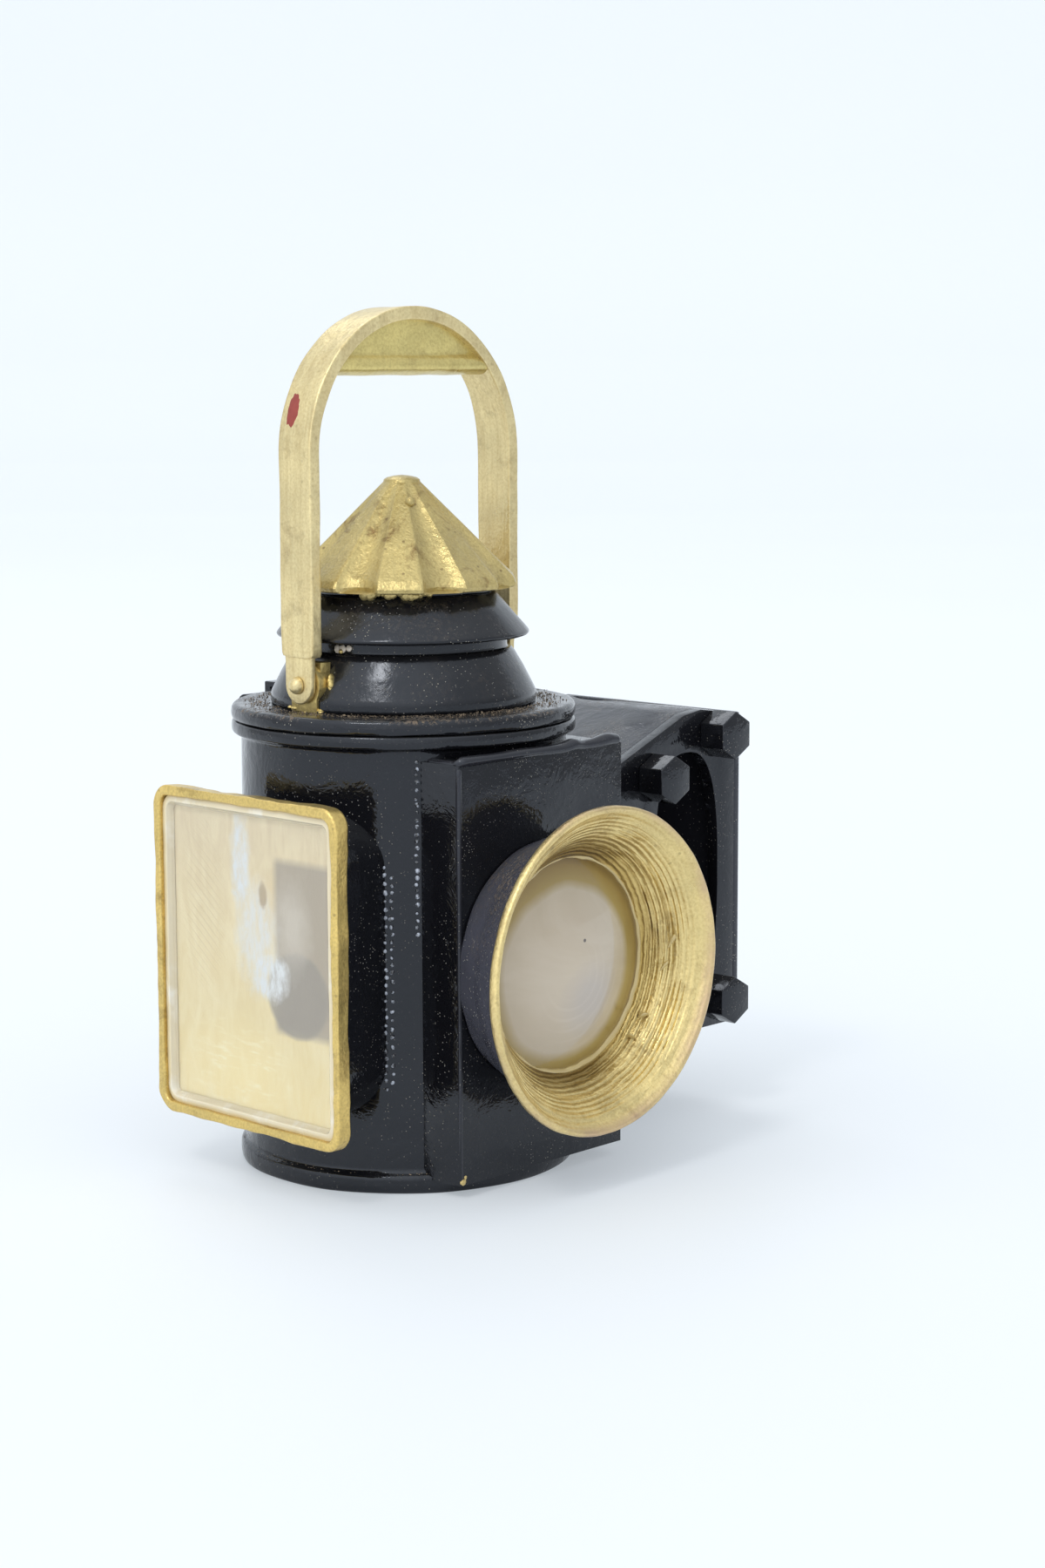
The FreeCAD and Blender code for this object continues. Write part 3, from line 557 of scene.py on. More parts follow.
def backing_material():
    """Cream and gold paint behind the window, with a scraped white patch and a smoky light pane."""
    n = Nodes("backing_look")
    _, y, z = n.split(n.place)

    def brushed(detail, rough, scale, turn, distortion=0):
        return n.noise(1, detail, rough, n.mapped((10, *scale), (turn, 0, 0)), distortion)

    def oval(*shape):
        return oval_mask(n, y, z, *shape)

    colour = n.ramp(z / (60 * MM), (0.22, (0.85, 0.7, 0.36)), (0.4, (0.8, 0.665, 0.36)),
                    (0.62, (0.78, 0.65, 0.39)), (0.88, (0.71, 0.59, 0.4)))
    swirl = n.ramp(brushed(4, 0.6, (380, 130), 0.9, 0.8), (0.4, 0), (0.7, 0.55))
    bright = oval((3, 17), (14, 9), 0.8, 150, 0.5)
    smoke = span_mask(n, y, -17, -4, 1.3) * span_mask(n, z, 23, 48.6, 1.3)
    sag = oval((-9.2, 29.2), (6.7, 6.4), 0.12, 200, 0.12)
    veil = oval((-8, 38.5), (5, 8), 0.8, 260, 0.9)
    upper = oval((2.6, 47), (2.4, 8.5), 0.5, 460, 0.9)
    middle = oval((-0.6, 36.5), (5.2, 9), 0.55, 420, 0.8)
    lower = oval((-3.4, 31.2), (4.6, 4), 0.35, 500, 0.6)
    fibres = n.ramp(brushed(5, 0.75, (1100, 420), 0.35), (0.34, 0.35), (0.56, 1))
    scrape = n.highest(upper, n.highest(middle * 0.8, lower))
    spot = oval((-2.1, 42.6), (1, 2.2), 0.4, 600, 0.7)
    slant = n.math("SINE", (z + y * -0.8) * (TAU / (1.25 * MM)))
    hatch = n.ramp(slant, (0.55, 0), (0.95, 1)) * oval((10.5, 40), (5.5, 15), 0.6, 200, 0.4)
    glitter = n.ramp(brushed(4, 0.7, (260, 1300), 0.28, 0.4), (0.52, 0), (0.66, 1)) * bright
    for share, tint in ((swirl, (0.92, 0.83, 0.58)), (bright * 0.55, (0.95, 0.8, 0.42)),
                        (smoke * 0.92, (0.395, 0.335, 0.265)), (sag * 0.85, (0.31, 0.275, 0.235)),
                        (veil * 0.5, (0.74, 0.69, 0.62)), (scrape * fibres, (0.76, 0.79, 0.825)),
                        (spot * 0.8, (0.42, 0.31, 0.18)), (hatch * 0.35, (0.66, 0.52, 0.3)),
                        (glitter * 0.7, (0.97, 0.9, 0.66)),
                        (n.facing(0, 0.2, 0.6, "True Normal"), (0.006, 0.006, 0.007))):
        colour = n.mix(share, colour, tint)
    normal = n.bump(brushed(3, 0.5, (900, 260), 0.75, 0.5), 0.00014, 0.6)
    normal = n.bump(hatch, 0.00008, 0.6, normal)
    normal = n.bump(scrape, 0.0001, 0.5, normal)
    return n.set(Base_Color=colour, Roughness=0.42, Metallic=0.12, Normal=normal)


def grit_material():
    """Dry brown grains, some dark and some pale."""
    n = Nodes("grit_look")
    tone = n.ramp(n.noise(700, 2), (0.35, (0.05, 0.038, 0.026)), (0.65, (0.32, 0.24, 0.16)))
    return n.set(Base_Color=tone, Roughness=0.9)


def wet_material():
    """Glassy drops of thinned black paint; the pale patches in their colour are painted glints."""
    n = Nodes("wet_paint_glints_look")
    # painted glints: pale grey-blue patches mixed into the black
    tone = n.ramp(n.noise(1500, 2), (0.42, (0.02, 0.021, 0.025)), (0.6, (0.42, 0.45, 0.52)))
    return n.set(Base_Color=tone, Roughness=0.05, Coat_Weight=1, Coat_Roughness=0.02,
                 Normal=n.bump(n.noise(900, 2), 0.00002, 0.3))


def wax_material():
    """Soft cream candle wax."""
    n = Nodes("wax_look")
    return n.set(Base_Color=n.mix(n.noise(120, 4), (0.86, 0.82, 0.72), (0.93, 0.9, 0.82)), Roughness=0.42,
                 Subsurface_Weight=0.35, Normal=n.bump(n.noise(240, 3), 0.0001, 0.4))


BLACK = enamel("black_enamel_look")
BLACK_LID = enamel("black_enamel_lid", dust=0.45, grit=1, gloss=0.1, specks=1)
BLACK_ROOF = enamel("black_enamel_roof", dust=0.35, grit=0.12, gloss=0.17, specks=0.8, wave=0.45)
BLACK_RIDGE = enamel("black_enamel_ridge", dust=0.3, gloss=0.07, specks=0.3, wave=0.4, pale=3)
BLACK_BOX = enamel("black_enamel_box", dust=0.7, grit=0.3, gloss=0.1, specks=0.8, pale=4)
BLACK_BARREL = enamel("black_enamel_barrel", dust=0.9, grit=0.9, gloss=0.28, specks=1.4, pale=11)
GOLD = gold("gold_paint_look")
GOLD_STRAP = gold("gold_strap_look", light=(0.88, 0.735, 0.395), deep=(0.42, 0.28, 0.1), grime=0.4,
                  brushed=(500, 1600, 90), metallic=0.68)
GOLD_WEB = gold("gold_web_look", light=(0.8, 0.665, 0.26), deep=(0.36, 0.24, 0.06), grime=0.35, metallic=0.7)
# painted shade: a darker copy of the gold paint for the cap, standing in for less light on its top, with
# heavier grime
GOLD_CAP_SHADED = gold("gold_cap_shaded_look", light=(0.61, 0.485, 0.2), deep=(0.22, 0.14, 0.04), grime=1,
                metallic=0.62, grain=1.9)
GOLD_BEZEL = gold("gold_bezel_look", light=(0.9, 0.72, 0.33), deep=(0.42, 0.27, 0.07), grime=0.5, rings=True,
                  grain=1.4)
GOLD_LUG = gold("gold_lug_look", light=(0.8, 0.62, 0.24), deep=(0.24, 0.14, 0.04), grime=0.8)
GOLD_FRAME = gold("gold_frame_look", light=(0.84, 0.62, 0.21), deep=(0.26, 0.15, 0.04), grime=0.6)
GRIT = grit_material()
CHIP = toned("cream_chip_look", 900, 4, ((0.62, 0.5, 0.36), (0.85, 0.78, 0.68)), (0.00006, 0.5),
             Roughness=0.35)
WET_WITH_PAINTED_GLINTS = wet_material()
GLUE = toned("glue_look", 260, 4, ((0.42, 0.3, 0.1), (0.62, 0.48, 0.2)), (0.0001, 0.5),
             Roughness=0.1, Metallic=0.1, Coat_Weight=1, Coat_Roughness=0.03)
PANE_EDGE = bevel_material()
LENS = lens_material()
PANE = pane_material()
BACKING = backing_material()
STEEL = plain_metal("bright_steel_look", (0.62, 0.62, 0.61), 0.32)
REFLECTOR = plain_metal("reflector_look", (0.82, 0.82, 0.8), 0.14)
TIN = plain_metal("candle_tin_look", (0.8, 0.8, 0.8), 0.24, 1500)
WAX = wax_material()
WICK = toned("wick_look", 1, 2, (shaded((0.82, 0.78, 0.68), 0.7), (0.82, 0.78, 0.68)), (0.00006, 0.6),
             scale=(4000, 4000, 9000), Roughness=0.9)
SEAL = enamel("seal_rubber_look", dust=0.2, gloss=0.5)
RED = toned("red_dab_look", 600, 4, ((0.2, 0.018, 0.012), (0.34, 0.055, 0.035)), (0.00004, 0.4),
            Roughness=0.4)


def dress(piece, material, body, slot, *nodes):
    """Give a piece its material and body, and hide the CAD nodes it stands for. The slot is not used."""
    piece.data.materials.clear()
    piece.data.materials.append(material)
    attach(piece, body)
    if nodes:
        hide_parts(*nodes)


def dress_softened(node, width, material, body, slot, **settings):
    """Round a CAD node's edges and dress the result in its place."""
    dress(softened(node, width, **settings), material, body, slot, node)


def paint_nodes(material, *nodes):
    """Give CAD nodes that stay in view a better material."""
    for node in nodes:
        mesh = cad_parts[node].data
        mesh.materials.clear()
        mesh.materials.append(material)


# ---------- body


def build_body():
    """Tin with a rolled foot and rim, and openings behind the lens and the window."""
    top = high("body_shell").z
    foot_r = BODY_IN_R + 2.2
    shell = lathed("body_shell_finish", [
        (BODY_IN_R, 0), (foot_r - 0.2, 0), (foot_r, 0.9), (foot_r - 0.05, 2.5), (BODY_R, 3),
        (BODY_R, top - 2.1), (RIM_R - 0.1, top - 1.8), (RIM_R, top - 0.9), (RIM_R - 0.15, top),
        (BODY_IN_R, top)], 0.5, 1.1)
    wavy(shell, 0.1, 9, 1)
    port_half = 13
    carve(shell, block("cut", (LENS_X - port_half, -30, LENS_Z - 14), (LENS_X + port_half, -12, LENS_Z + 14)))
    window_half = 17.8
    window_z = (low("window_frame").z + high("window_frame").z) / 2
    carve(shell, block("cut", (-30, -11, window_z - window_half), (-12, 11, window_z + window_half)))
    dress(shell, BLACK, "body", "black_enamel", "body_shell")
    paint_nodes(BLACK, "base_plate")


def build_lid():
    """Lid ring with its spigot, the roof cone above it and the skirt under the cap."""
    spigot_r = BODY_IN_R - 0.5
    lid = lathed("lid_ring_finish", [
        (12, LID_BOTTOM), (spigot_r - 1, LID_BOTTOM), (spigot_r - 1, LID_BOTTOM - 1.6),
        (spigot_r, LID_BOTTOM - 1.6), (spigot_r, LID_BOTTOM), (RIM_R - 0.25, LID_BOTTOM),
        (RIM_R, LID_BOTTOM + 0.7), (RIM_R - 0.1, LID_TOP - 0.4), (RIM_R - 0.6, LID_TOP),
        (12, LID_TOP)], 0.35, 1)
    wavy(lid, 0.13, 5, 4)
    dress(lid, BLACK_LID, "lid", "black_enamel", "lid_ring")

    foot_r = high("roof_cone").x
    neck_top = high("roof_cone").z
    cone_top = neck_top - 1.8
    cone = lathed("roof_cone_finish", [
        (foot_r - 1.2, LID_TOP), (foot_r, LID_TOP), (foot_r - 0.05, LID_TOP + 1.6),
        (17.6, LID_TOP + 4.9), (16.15, cone_top - 0.5), (15.7, cone_top), (15.1, cone_top + 0.05),
        (15.1, neck_top), (14.1, neck_top), (14.1, cone_top), (10, cone_top), (10, cone_top - 1.2),
        (14.8, cone_top - 1.2), (foot_r - 1.2, LID_TOP + 1.2)], 0.4, 0.9)
    wavy(cone, 0.09, 7, 6)
    dress(cone, BLACK_ROOF, "lid", "black_enamel", "roof_cone")

    tip_r = high("roof_skirt").x
    z0 = low("roof_skirt").z
    z1 = high("roof_skirt").z
    skirt = lathed("roof_skirt_finish", [
        (tip_r - 1.4, z0), (tip_r - 0.25, z0), (tip_r, z0 + 0.45), (tip_r - 0.5, z0 + 1.1),
        (15.2, z1 - 2), (13.3, z1), (10, z1), (10, z1 - 1.2), (12.3, z1 - 1.2)], 0.45, 0.8)
    wavy(skirt, 0.13, 5, 9)
    dress(skirt, BLACK_ROOF, "lid", "black_enamel", "roof_skirt")
    paint_nodes(BLACK, "chimney", "skirt_stays")


def build_cap():
    """Gold cone with eight flats and eight channels between them."""
    r0 = high("roof_cap").x
    z0 = low("roof_cap").z
    z1 = high("roof_cap").z
    tip_r = 2.7
    first = math.radians(247)
    sector = TAU / 8
    channel_half = math.radians(11)
    flat_half = sector / 2 - channel_half

    def fluted(r, h, angle):
        if h < z0 + 0.2 or r < tip_r * 0.9:
            return r, h
        offset = (angle - first) % sector
        from_channel = min(offset, sector - offset)
        from_flat = sector / 2 - from_channel
        reach = min(1, max(0, (r - tip_r) / (r0 - tip_r)))
        soft = noise.noise(polar(angle, 4, h * 0.26)) * 0.22
        if from_flat <= flat_half:
            flat = r * math.cos(flat_half) / math.cos(from_flat)
            return r + (flat - r) * reach + soft * reach, h
        depth = math.cos(from_channel / channel_half * math.pi / 2) ** 0.7
        return r - depth * 2.1 * reach ** 0.85 + soft * reach, h + depth * 0.2 * reach

    seat = z0 + 1.6
    steps = 30
    slope = [(r0 + (tip_r - r0) * k / steps, z0 + 1.2 + (z1 - z0 - 2.2) * k / steps)
             for k in range(1, steps + 1)]
    outline = [(11.4, seat), (14.3, seat), (15.1, z0 + 0.2), (15.9, z0 + 0.03), (16.5, z0 + 0.2),
               (r0 - 0.1, z0 + 0.7), *slope, (tip_r * 0.96, z1 - 0.62), (tip_r * 0.8, z1 - 0.34),
               (tip_r * 0.45, z1 - 0.12), (0.2, z1), (0.2, z1 - 2.5), (2.4, z1 - 3.5)]
    cap = turned("roof_cap_finish", outline, steps=320, shape=fluted, smooth_angle=26)
    dress(cap, GOLD_CAP_SHADED, "lid", "gold_paint", "roof_cap")

    collar_r = high("cap_collar").x
    bottom = low("cap_collar").z - 0.05
    collar = lathed("cap_collar_finish", [
        (10.2, bottom), (collar_r, bottom), (collar_r + 0.1, bottom + 0.9), (collar_r, seat),
        (10.2, seat)], 0.4, 0.7)
    wavy(collar, 0.14, 3.5, 13)
    dress(collar, BLACK, "lid", "black_enamel", "cap_collar")

    rng = random.Random(19)
    spots = []
    for degrees in range(203, 243, 3):
        outward = polar(math.radians(degrees + rng.uniform(-1, 1)))
        size = rng.uniform(0.45, 0.95)
        reach = collar_r + rng.uniform(0.1, 1.2)
        spots.append((outward * reach + UP * (bottom + rng.uniform(0.3, 0.9)), outward, size))
    lump = polar(math.radians(238))
    spots.append((lump * 5.6 + UP * (z1 - 3.6), lump, 0.7))
    drips = scatter("cap_paint_drips", spots, 23, 0.8, rounds=2)
    wavy(drips, 0.12, 1, 3)
    dress(drips, GOLD_CAP_SHADED, "lid", "gold_paint")


# ---------- lens


def squashed(piece):
    """Pull the left edge of a round piece in a little: the casting is not quite round."""
    amount = 0.6 * MM
    for v in piece.data.vertices:
        left = max(0, (LENS_X - v.co.x / MM) / BEZEL_R)
        v.co.x += amount * left ** 2
    return piece


def build_lens():
    """Barrel, gold bezel with its grooved flare, glass, glue and the square housing."""
    face = -low("lens_housing").y
    front = -low("lens_bezel").y
    throat = front - 7.3
    glass_r = (high("front_lens").x - low("front_lens").x) / 2
    barrel_r = (high("lens_barrel").x - low("lens_barrel").x) / 2

    barrel = lathed("lens_barrel_finish", [
        (16.1, face), (17.2, face), (17.5, face + 0.8), (18.9, face + 4.6),
        (barrel_r, front - 1.25), (barrel_r - 1.1, front - 1.25)], 0.4, 0.9, steps=192)
    wavy(barrel, 0.12, 4, 12)
    dress(squashed(face_front(barrel)), BLACK_BARREL, "body", "black_enamel", "lens_barrel")

    # trumpet flare from the lip down to the throat, with hand-turned grooves that wander and fade
    flare = [(BEZEL_R - 0.95, front - 0.25), (20.9, front - 1.6), (19.2, front - 3.2),
             (17.9, front - 4.9), (16.8, front - 6.4), (15.9, throat + 0.1),
             (15.2, throat - 0.75)]
    flare = [tuple(p) for p in filled_in(flare, 0.12, closed=False)]
    groove_pitch = 0.74
    runs = {}
    run = 0
    for k, point in enumerate(flare):
        if k:
            run += (Vector(point) - Vector(flare[k - 1])).length
        runs[point] = run

    def grooved(r, h, angle):
        if (r, h) not in runs:
            return r, h
        along = runs[(r, h)]
        drift = 2.6 * noise.noise(polar(angle, 1.6, along * 0.11))
        patch = 0.6 + 0.7 * noise.noise(polar(angle, 2.4, along * 0.26 + 4))
        wave = math.sin(along / groove_pitch * TAU + drift)
        share = min(1, max(0.08, (along - 1.2) / 2.4))
        ease = min(1, max(0, 9.3 - along))
        cut = max(0, wave) ** 1.6 * share * patch * ease
        return r + 0.24 * cut, h - 0.1 * cut

    back = [(15.4, throat - 1.1), (glass_r + 0.9, throat - 1),
            (glass_r + 2, throat + 1.1), (barrel_r - 1.2, front - 1.2),
            (BEZEL_R - 0.1, front - 1.2), (BEZEL_R, front - 1.05), (BEZEL_R, front - 0.35),
            (BEZEL_R - 0.12, front - 0.1), (BEZEL_R - 0.35, front), (BEZEL_R - 0.7, front - 0.04)]
    bezel = turned("lens_bezel_finish", back + flare, steps=320, shape=grooved, smooth_angle=65)
    wavy(bezel, 0.08, 3.5, 15)
    dress(squashed(face_front(bezel)), GOLD_BEZEL, "body", "gold_paint", "lens_bezel")

    seat = -high("front_lens").y
    peak = -low("front_lens").y
    rim = seat + 2.2
    bulge = peak - rim
    curve = [*((glass_r * t, seat) for t in (0, 0.3, 0.6, 0.9)), (glass_r - 0.08, seat + 0.1),
             (glass_r - 0.06, rim - 0.2)]
    arc = 20
    sphere = (glass_r ** 2 + bulge ** 2) / (2 * bulge)
    for k in range(arc):
        r = (glass_r - 0.1) * (1 - k / arc)
        curve.append((r, peak - sphere + math.sqrt(sphere ** 2 - r ** 2)))
    curve.append((0, peak))
    glass = dome("front_lens_finish", curve)
    dress(face_front(glass), LENS, "body", "lens_glass", "front_lens")
    build_glue(throat)

    dress_softened("lens_housing", 0.18, BLACK, "body", "black_enamel")
    paint_nodes(SEAL, "lens_gasket")
    paint_nodes(STEEL, "lens_retaining_ring")
    build_housing_lip()


def build_glue(throat):
    """Uneven clear bead round the edge of the glass, with drips at the lower right."""
    sides = 12
    turns = 180
    loops = []
    for k in range(turns):
        angle = TAU * k / turns
        heavy = max(0, math.cos(angle + math.radians(50))) ** 2
        girth = 0.3 + 0.22 * noise.noise(polar(angle, 5, 1.7)) + 0.3 * heavy
        reach = 15.35 + 0.25 * noise.noise(polar(angle, 7, 8.1))
        loops.append(ring(polar(angle, reach, throat - 0.75), polar(angle), UP, girth, sides))
    bead = skin("lens_glue_bead", loops, smooth_angle=80)
    dress(face_front(bead), GLUE, "body", "lens_glass")
    flare_slope = 0.78
    drips = ((4, 17.6, 3.6, 0.42), (-8, 17.3, 2.6, 0.34), (-34, 16.7, 1.5, 0.5), (-47, 16.5, 1.2, 0.55))
    count = 14
    for index, (degrees, reach, rise, girth) in enumerate(drips):
        loops = []
        for k in range(count + 1):
            t = k / count
            turn = math.radians(degrees - (7 - 1.5 * index) * (t - 0.5))
            out = reach + (0.9 - 0.2 * index) * (0.5 - t)
            height = throat + rise + (0.5 - t) * flare_slope
            size = girth * math.sin(math.pi * min(0.96, max(0.06, t ** 0.6)))
            loops.append(ring(polar(turn, out, height), polar(turn), UP, size, sides))
        drip = skin("lens_glue_drip_%d" % index, loops, capped=True, smooth_angle=80)
        wavy(drip, 0.1, 0.9, index)
        dress(face_front(drip), GLUE, "body", "lens_glass")


def build_corner_ridge(x, y, top):
    """Fine ridge of gathered paint down the near upright corner of the housing."""
    levels, sides = 90, 12
    loops = []
    for k in range(levels + 1):
        t = k / levels
        z = top - 0.2 - t * (top - 2.4)
        girth = 0.44 - 0.14 * t + 0.05 * noise.noise(Vector((t * 22, 1.7, 3.9)))
        if k in (0, levels):
            girth *= 0.3
        lean = 0.05 * noise.noise(Vector((t * 9, 7.3, 0.6)))
        loops.append([Vector((x + lean, y, z)) + polar(TAU * j / sides, girth) for j in range(sides)])
    ridge = skin("housing_corner_ridge", loops, capped=True, smooth_angle=80)
    dress(ridge, BLACK_RIDGE, "body", "black_enamel")


def build_housing_lip():
    """Rolled, uneven bead of paint along the top front edge of the housing."""
    half_w = 16.7
    x0 = LENS_X - half_w
    y = low("lens_housing").y
    top = high("lens_housing").z
    route = []
    for k in range(12):
        route.append((Vector((x0 + 0.4, y + 0.5 + 6 * (1 - k / 12), top + 0.02)), 0.55))
    count = 90
    for k in range(count + 1):
        t = k / count
        lump = math.exp(-((t - 0.7) / 0.045) ** 2) + 0.8 * math.exp(-((t - 0.93) / 0.06) ** 2)
        rise = 0.16 * noise.noise(Vector((t * 4.5, 2.2, 0.4))) + 0.34 + 0.34 * lump
        girth = 0.92 + 0.18 * noise.noise(Vector((t * 5, 0.3, 5.1))) + 0.22 * lump
        x = x0 + 0.6 + t * (2 * half_w - 1.2)
        route.append((Vector((x, y + 0.22, top + rise)), girth))
    build_corner_ridge(x0 + 0.25, y + 0.25, top)
    loops = []
    sides = 16
    flatness = 0.8
    for k, (point, girth) in enumerate(route):
        ahead = (route[min(k + 1, len(route) - 1)][0] - route[max(k - 1, 0)][0]).normalized()
        side = ahead.cross(UP).normalized()
        if k in (0, len(route) - 1):
            girth *= 0.3
        loops.append(ring(point, side, UP * flatness, girth, sides))
    lip = skin("housing_lip", loops, capped=True, smooth_angle=80)
    dress(lip, BLACK_RIDGE, "body", "black_enamel")
    spots = [(Vector((x0 + across, y + 0.1, z)), Vector((0, -1, 0)), size)
             for across, z, size in ((0.5, 2.5, 0.6), (0.9, 3.1, 0.4))]
    chip = scatter("housing_gold_chip", spots, 29, 0.4, rounds=2)
    dress(chip, GOLD, "body", "black_enamel")


# ---------- window


def rounded_loop(node, x, corner, inset):
    """Loop of points inside a node's outline in a plane of constant x."""
    per_corner = 8
    per_side = 30
    lowest, highest = low(node), high(node)
    radius = max(0.12, corner - inset)
    mid_y = (lowest.y + highest.y) / 2
    reach = (highest.y - lowest.y) / 2 - inset - radius
    loop = []
    for cy, cz, start in ((1, 1, 0), (-1, 1, 90), (-1, -1, 180), (1, -1, 270)):
        mz = (highest.z - inset - radius) if cz > 0 else (lowest.z + inset + radius)
        for k in range(per_corner + 1):
            turn = polar(math.radians(start + 90 * k / per_corner), radius)
            loop.append(Vector((x, mid_y + cy * reach + turn.x, mz + turn.y)))
    out = []
    for k, a in enumerate(loop):
        b = loop[(k + 1) % len(loop)]
        parts = per_side if (b - a).length > 8 else 1
        out += [a.lerp(b, j / parts) for j in range(parts)]
    return out


def build_window():
    """Gold frame, the pane's milky edge, the pane and the painted backing."""
    node = "window_frame"

    def moulding(name, inset_corner, section, **settings):
        loops = [rounded_loop(node, x, inset_corner, inset) for x, inset in section]
        return skin(name, loops, **settings)

    x0 = low(node).x
    x1 = high(node).x
    corner = 3
    width = 1.3
    section = eased([(x0, 0), (x0, width), (x1, width), (x1, 0)], 0.28, 3)
    rim = moulding("window_frame_finish", corner, section, smooth_angle=70)
    wavy(rim, 0.16, 2.2, 21)
    wavy(rim, 0.2, 9, 22)
    dress(rim, GOLD_FRAME, "body", "gold_paint", "window_frame")

    g0 = low("window_glass").x
    g1 = high("window_glass").x
    section = [(g1, 1.2), (g0 + 0.6, 1.2), (g0 + 0.45, 1.35), (g0 + 0.3, 2),
               (g0 + 0.26, 2.2), (g0 + 0.34, 2.35), (g1, 2.9)]
    edge = moulding("window_glass_bevel", corner + 0.6, section, smooth_angle=35)
    wavy(edge, 0.05, 2, 25)
    dress(edge, PANE_EDGE, "body", "window_glass", "window_glass")
    section = [(g0 + 0.9, 2.5), (g0 + 0.42, 2.3), (g0 + 0.3, 2.5)]
    pane = moulding("window_glass_finish", corner + 0.8, section, capped=True, smooth_angle=30)
    dress(pane, PANE, "body", "window_glass", "window_glass")
    paint_nodes(BACKING, "window_backing", "window_light_pane")
    dress_softened("window_neck", 0.9, BLACK, "body", "black_enamel", segments=4)


# ---------- side box


def build_side_box():
    """Box on the right, with its end plate, cover and bolts."""
    for node, width, look in (("side_box_end_plate", 0.4, BLACK_BOX), ("side_box_shell", 0.35, BLACK_BOX),
                              ("side_box_cover", 0.35, BLACK), ("side_box_bolts", 0.2, BLACK)):
        dress_softened(node, width, look, "body", "black_enamel")
    paint_nodes(BLACK_BOX, "side_box_bosses")


# ---------- handle


STRAP_END_Z = 75


def build_handle():
    """Arched strap with stepped ends, its riveted tongues, the web and a dab of red paint."""
    thick = 1.9
    half_w = high("handle_strap").y
    mid_x = STRAP_OUT_X - thick / 2
    rows = 26
    turns = 64
    leg = [STRAP_END_Z + (ARCH_Z - STRAP_END_Z) * k / rows for k in range(rows)]
    route = [(Vector((-mid_x, 0, z)), Vector((-1, 0, 0))) for z in leg]
    for k in range(turns + 1):
        angle = math.pi - math.pi * k / turns
        outward = Vector((math.cos(angle), 0, math.sin(angle)))
        route.append((UP * ARCH_Z + outward * mid_x, outward))
    route += [(Vector((mid_x, 0, z)), Vector((1, 0, 0))) for z in reversed(leg)]
    corners = [(-thick / 2, -half_w), (thick / 2, -half_w), (thick / 2, half_w), (-thick / 2, half_w)]
    section = filled_in(eased(corners, 0.26, 3), 1.1)
    steps = ((0.85, 0.62, 0), (1, 0.9, -0.9), (1, 0.98, -1.5))
    loops = []
    for k, (point, outward) in enumerate(route):
        edge = min(k, len(route) - 1 - k)
        thin, narrow, lift = steps[edge] if edge < len(steps) else (1, 1, 0)
        place = point + UP * lift
        loops.append([place + outward * a * thin + Vector((0, b * narrow, 0)) for a, b in section])
    strap = skin("handle_strap_finish", loops, capped=True, smooth_angle=50)
    wavy(strap, 0.1, 5, 31)
    dress(strap, GOLD_STRAP, "handle", "gold_paint", "handle_strap")
    for name, side in SIDES:
        build_tongue(name, side)
    build_web(STRAP_OUT_X - thick)
    dress(dab_patch(), RED, "handle", "gold_paint")


def build_web(arch_r):
    """Plate that fills the top of the arch, its lower edge rolled over into a soft bead."""
    half_t = high("handle_web").y
    z_low = low("handle_web").z
    reach = math.sqrt(arch_r ** 2 - (z_low - ARCH_Z) ** 2) - 0.15
    columns = 60
    rows = 44
    loops = []
    for k in range(columns + 1):
        x = reach * (2 * k / columns - 1)
        z_top = ARCH_Z + math.sqrt((arch_r + 0.2) ** 2 - x * x)
        front = []
        for j in range(rows + 1):
            rise = (z_top - z_low) * (j / rows) ** 1.6
            bottom = math.sqrt(max(0, 1 - (1 - min(1, rise)) ** 2))
            bead = 0.95 * max(0, 1 - ((rise - 1.35) / 1.55) ** 2) ** 0.9
            front.append((0.25 + (half_t - 0.25 + bead) * bottom, z_low + rise))
        loops.append([Vector((x, -y, z)) for y, z in front] + [Vector((x, y, z)) for y, z in reversed(front)])
    web = skin("handle_web_finish", loops, capped=True, smooth_angle=60)
    wavy(web, 0.08, 4, 33)
    dress(web, GOLD_WEB, "handle", "gold_paint", "handle_web")


def dab_patch():
    """Small rubbed dab of red paint on the outer face of the left leg."""
    radius = STRAP_OUT_X + 0.05
    mid_y = 1.15
    mid_run = 6.4
    bm = bmesh.new()
    rings = []
    count = 48
    for scale in (0.35, 0.7, 1):
        loop = []
        for k in range(count):
            angle = TAU * k / count
            ragged = scale * (1 + 0.22 * noise.noise(polar(angle, 3, 3.3)))
            run = (mid_run + math.sin(angle) * 3 * ragged) / radius
            y = mid_y + math.cos(angle) * 1.35 * ragged
            lift = radius if scale < 1 else STRAP_OUT_X - 0.1
            loop.append(bm.verts.new((-lift * math.cos(run), y, ARCH_Z + lift * math.sin(run))))
        rings.append(loop)
    bm.faces.new(rings[0])
    for a, b in zip(rings, rings[1:]):
        for k in range(count):
            n = (k + 1) % count
            bm.faces.new((a[k], a[n], b[n], b[k]))
    return finished("red_dab", bm)


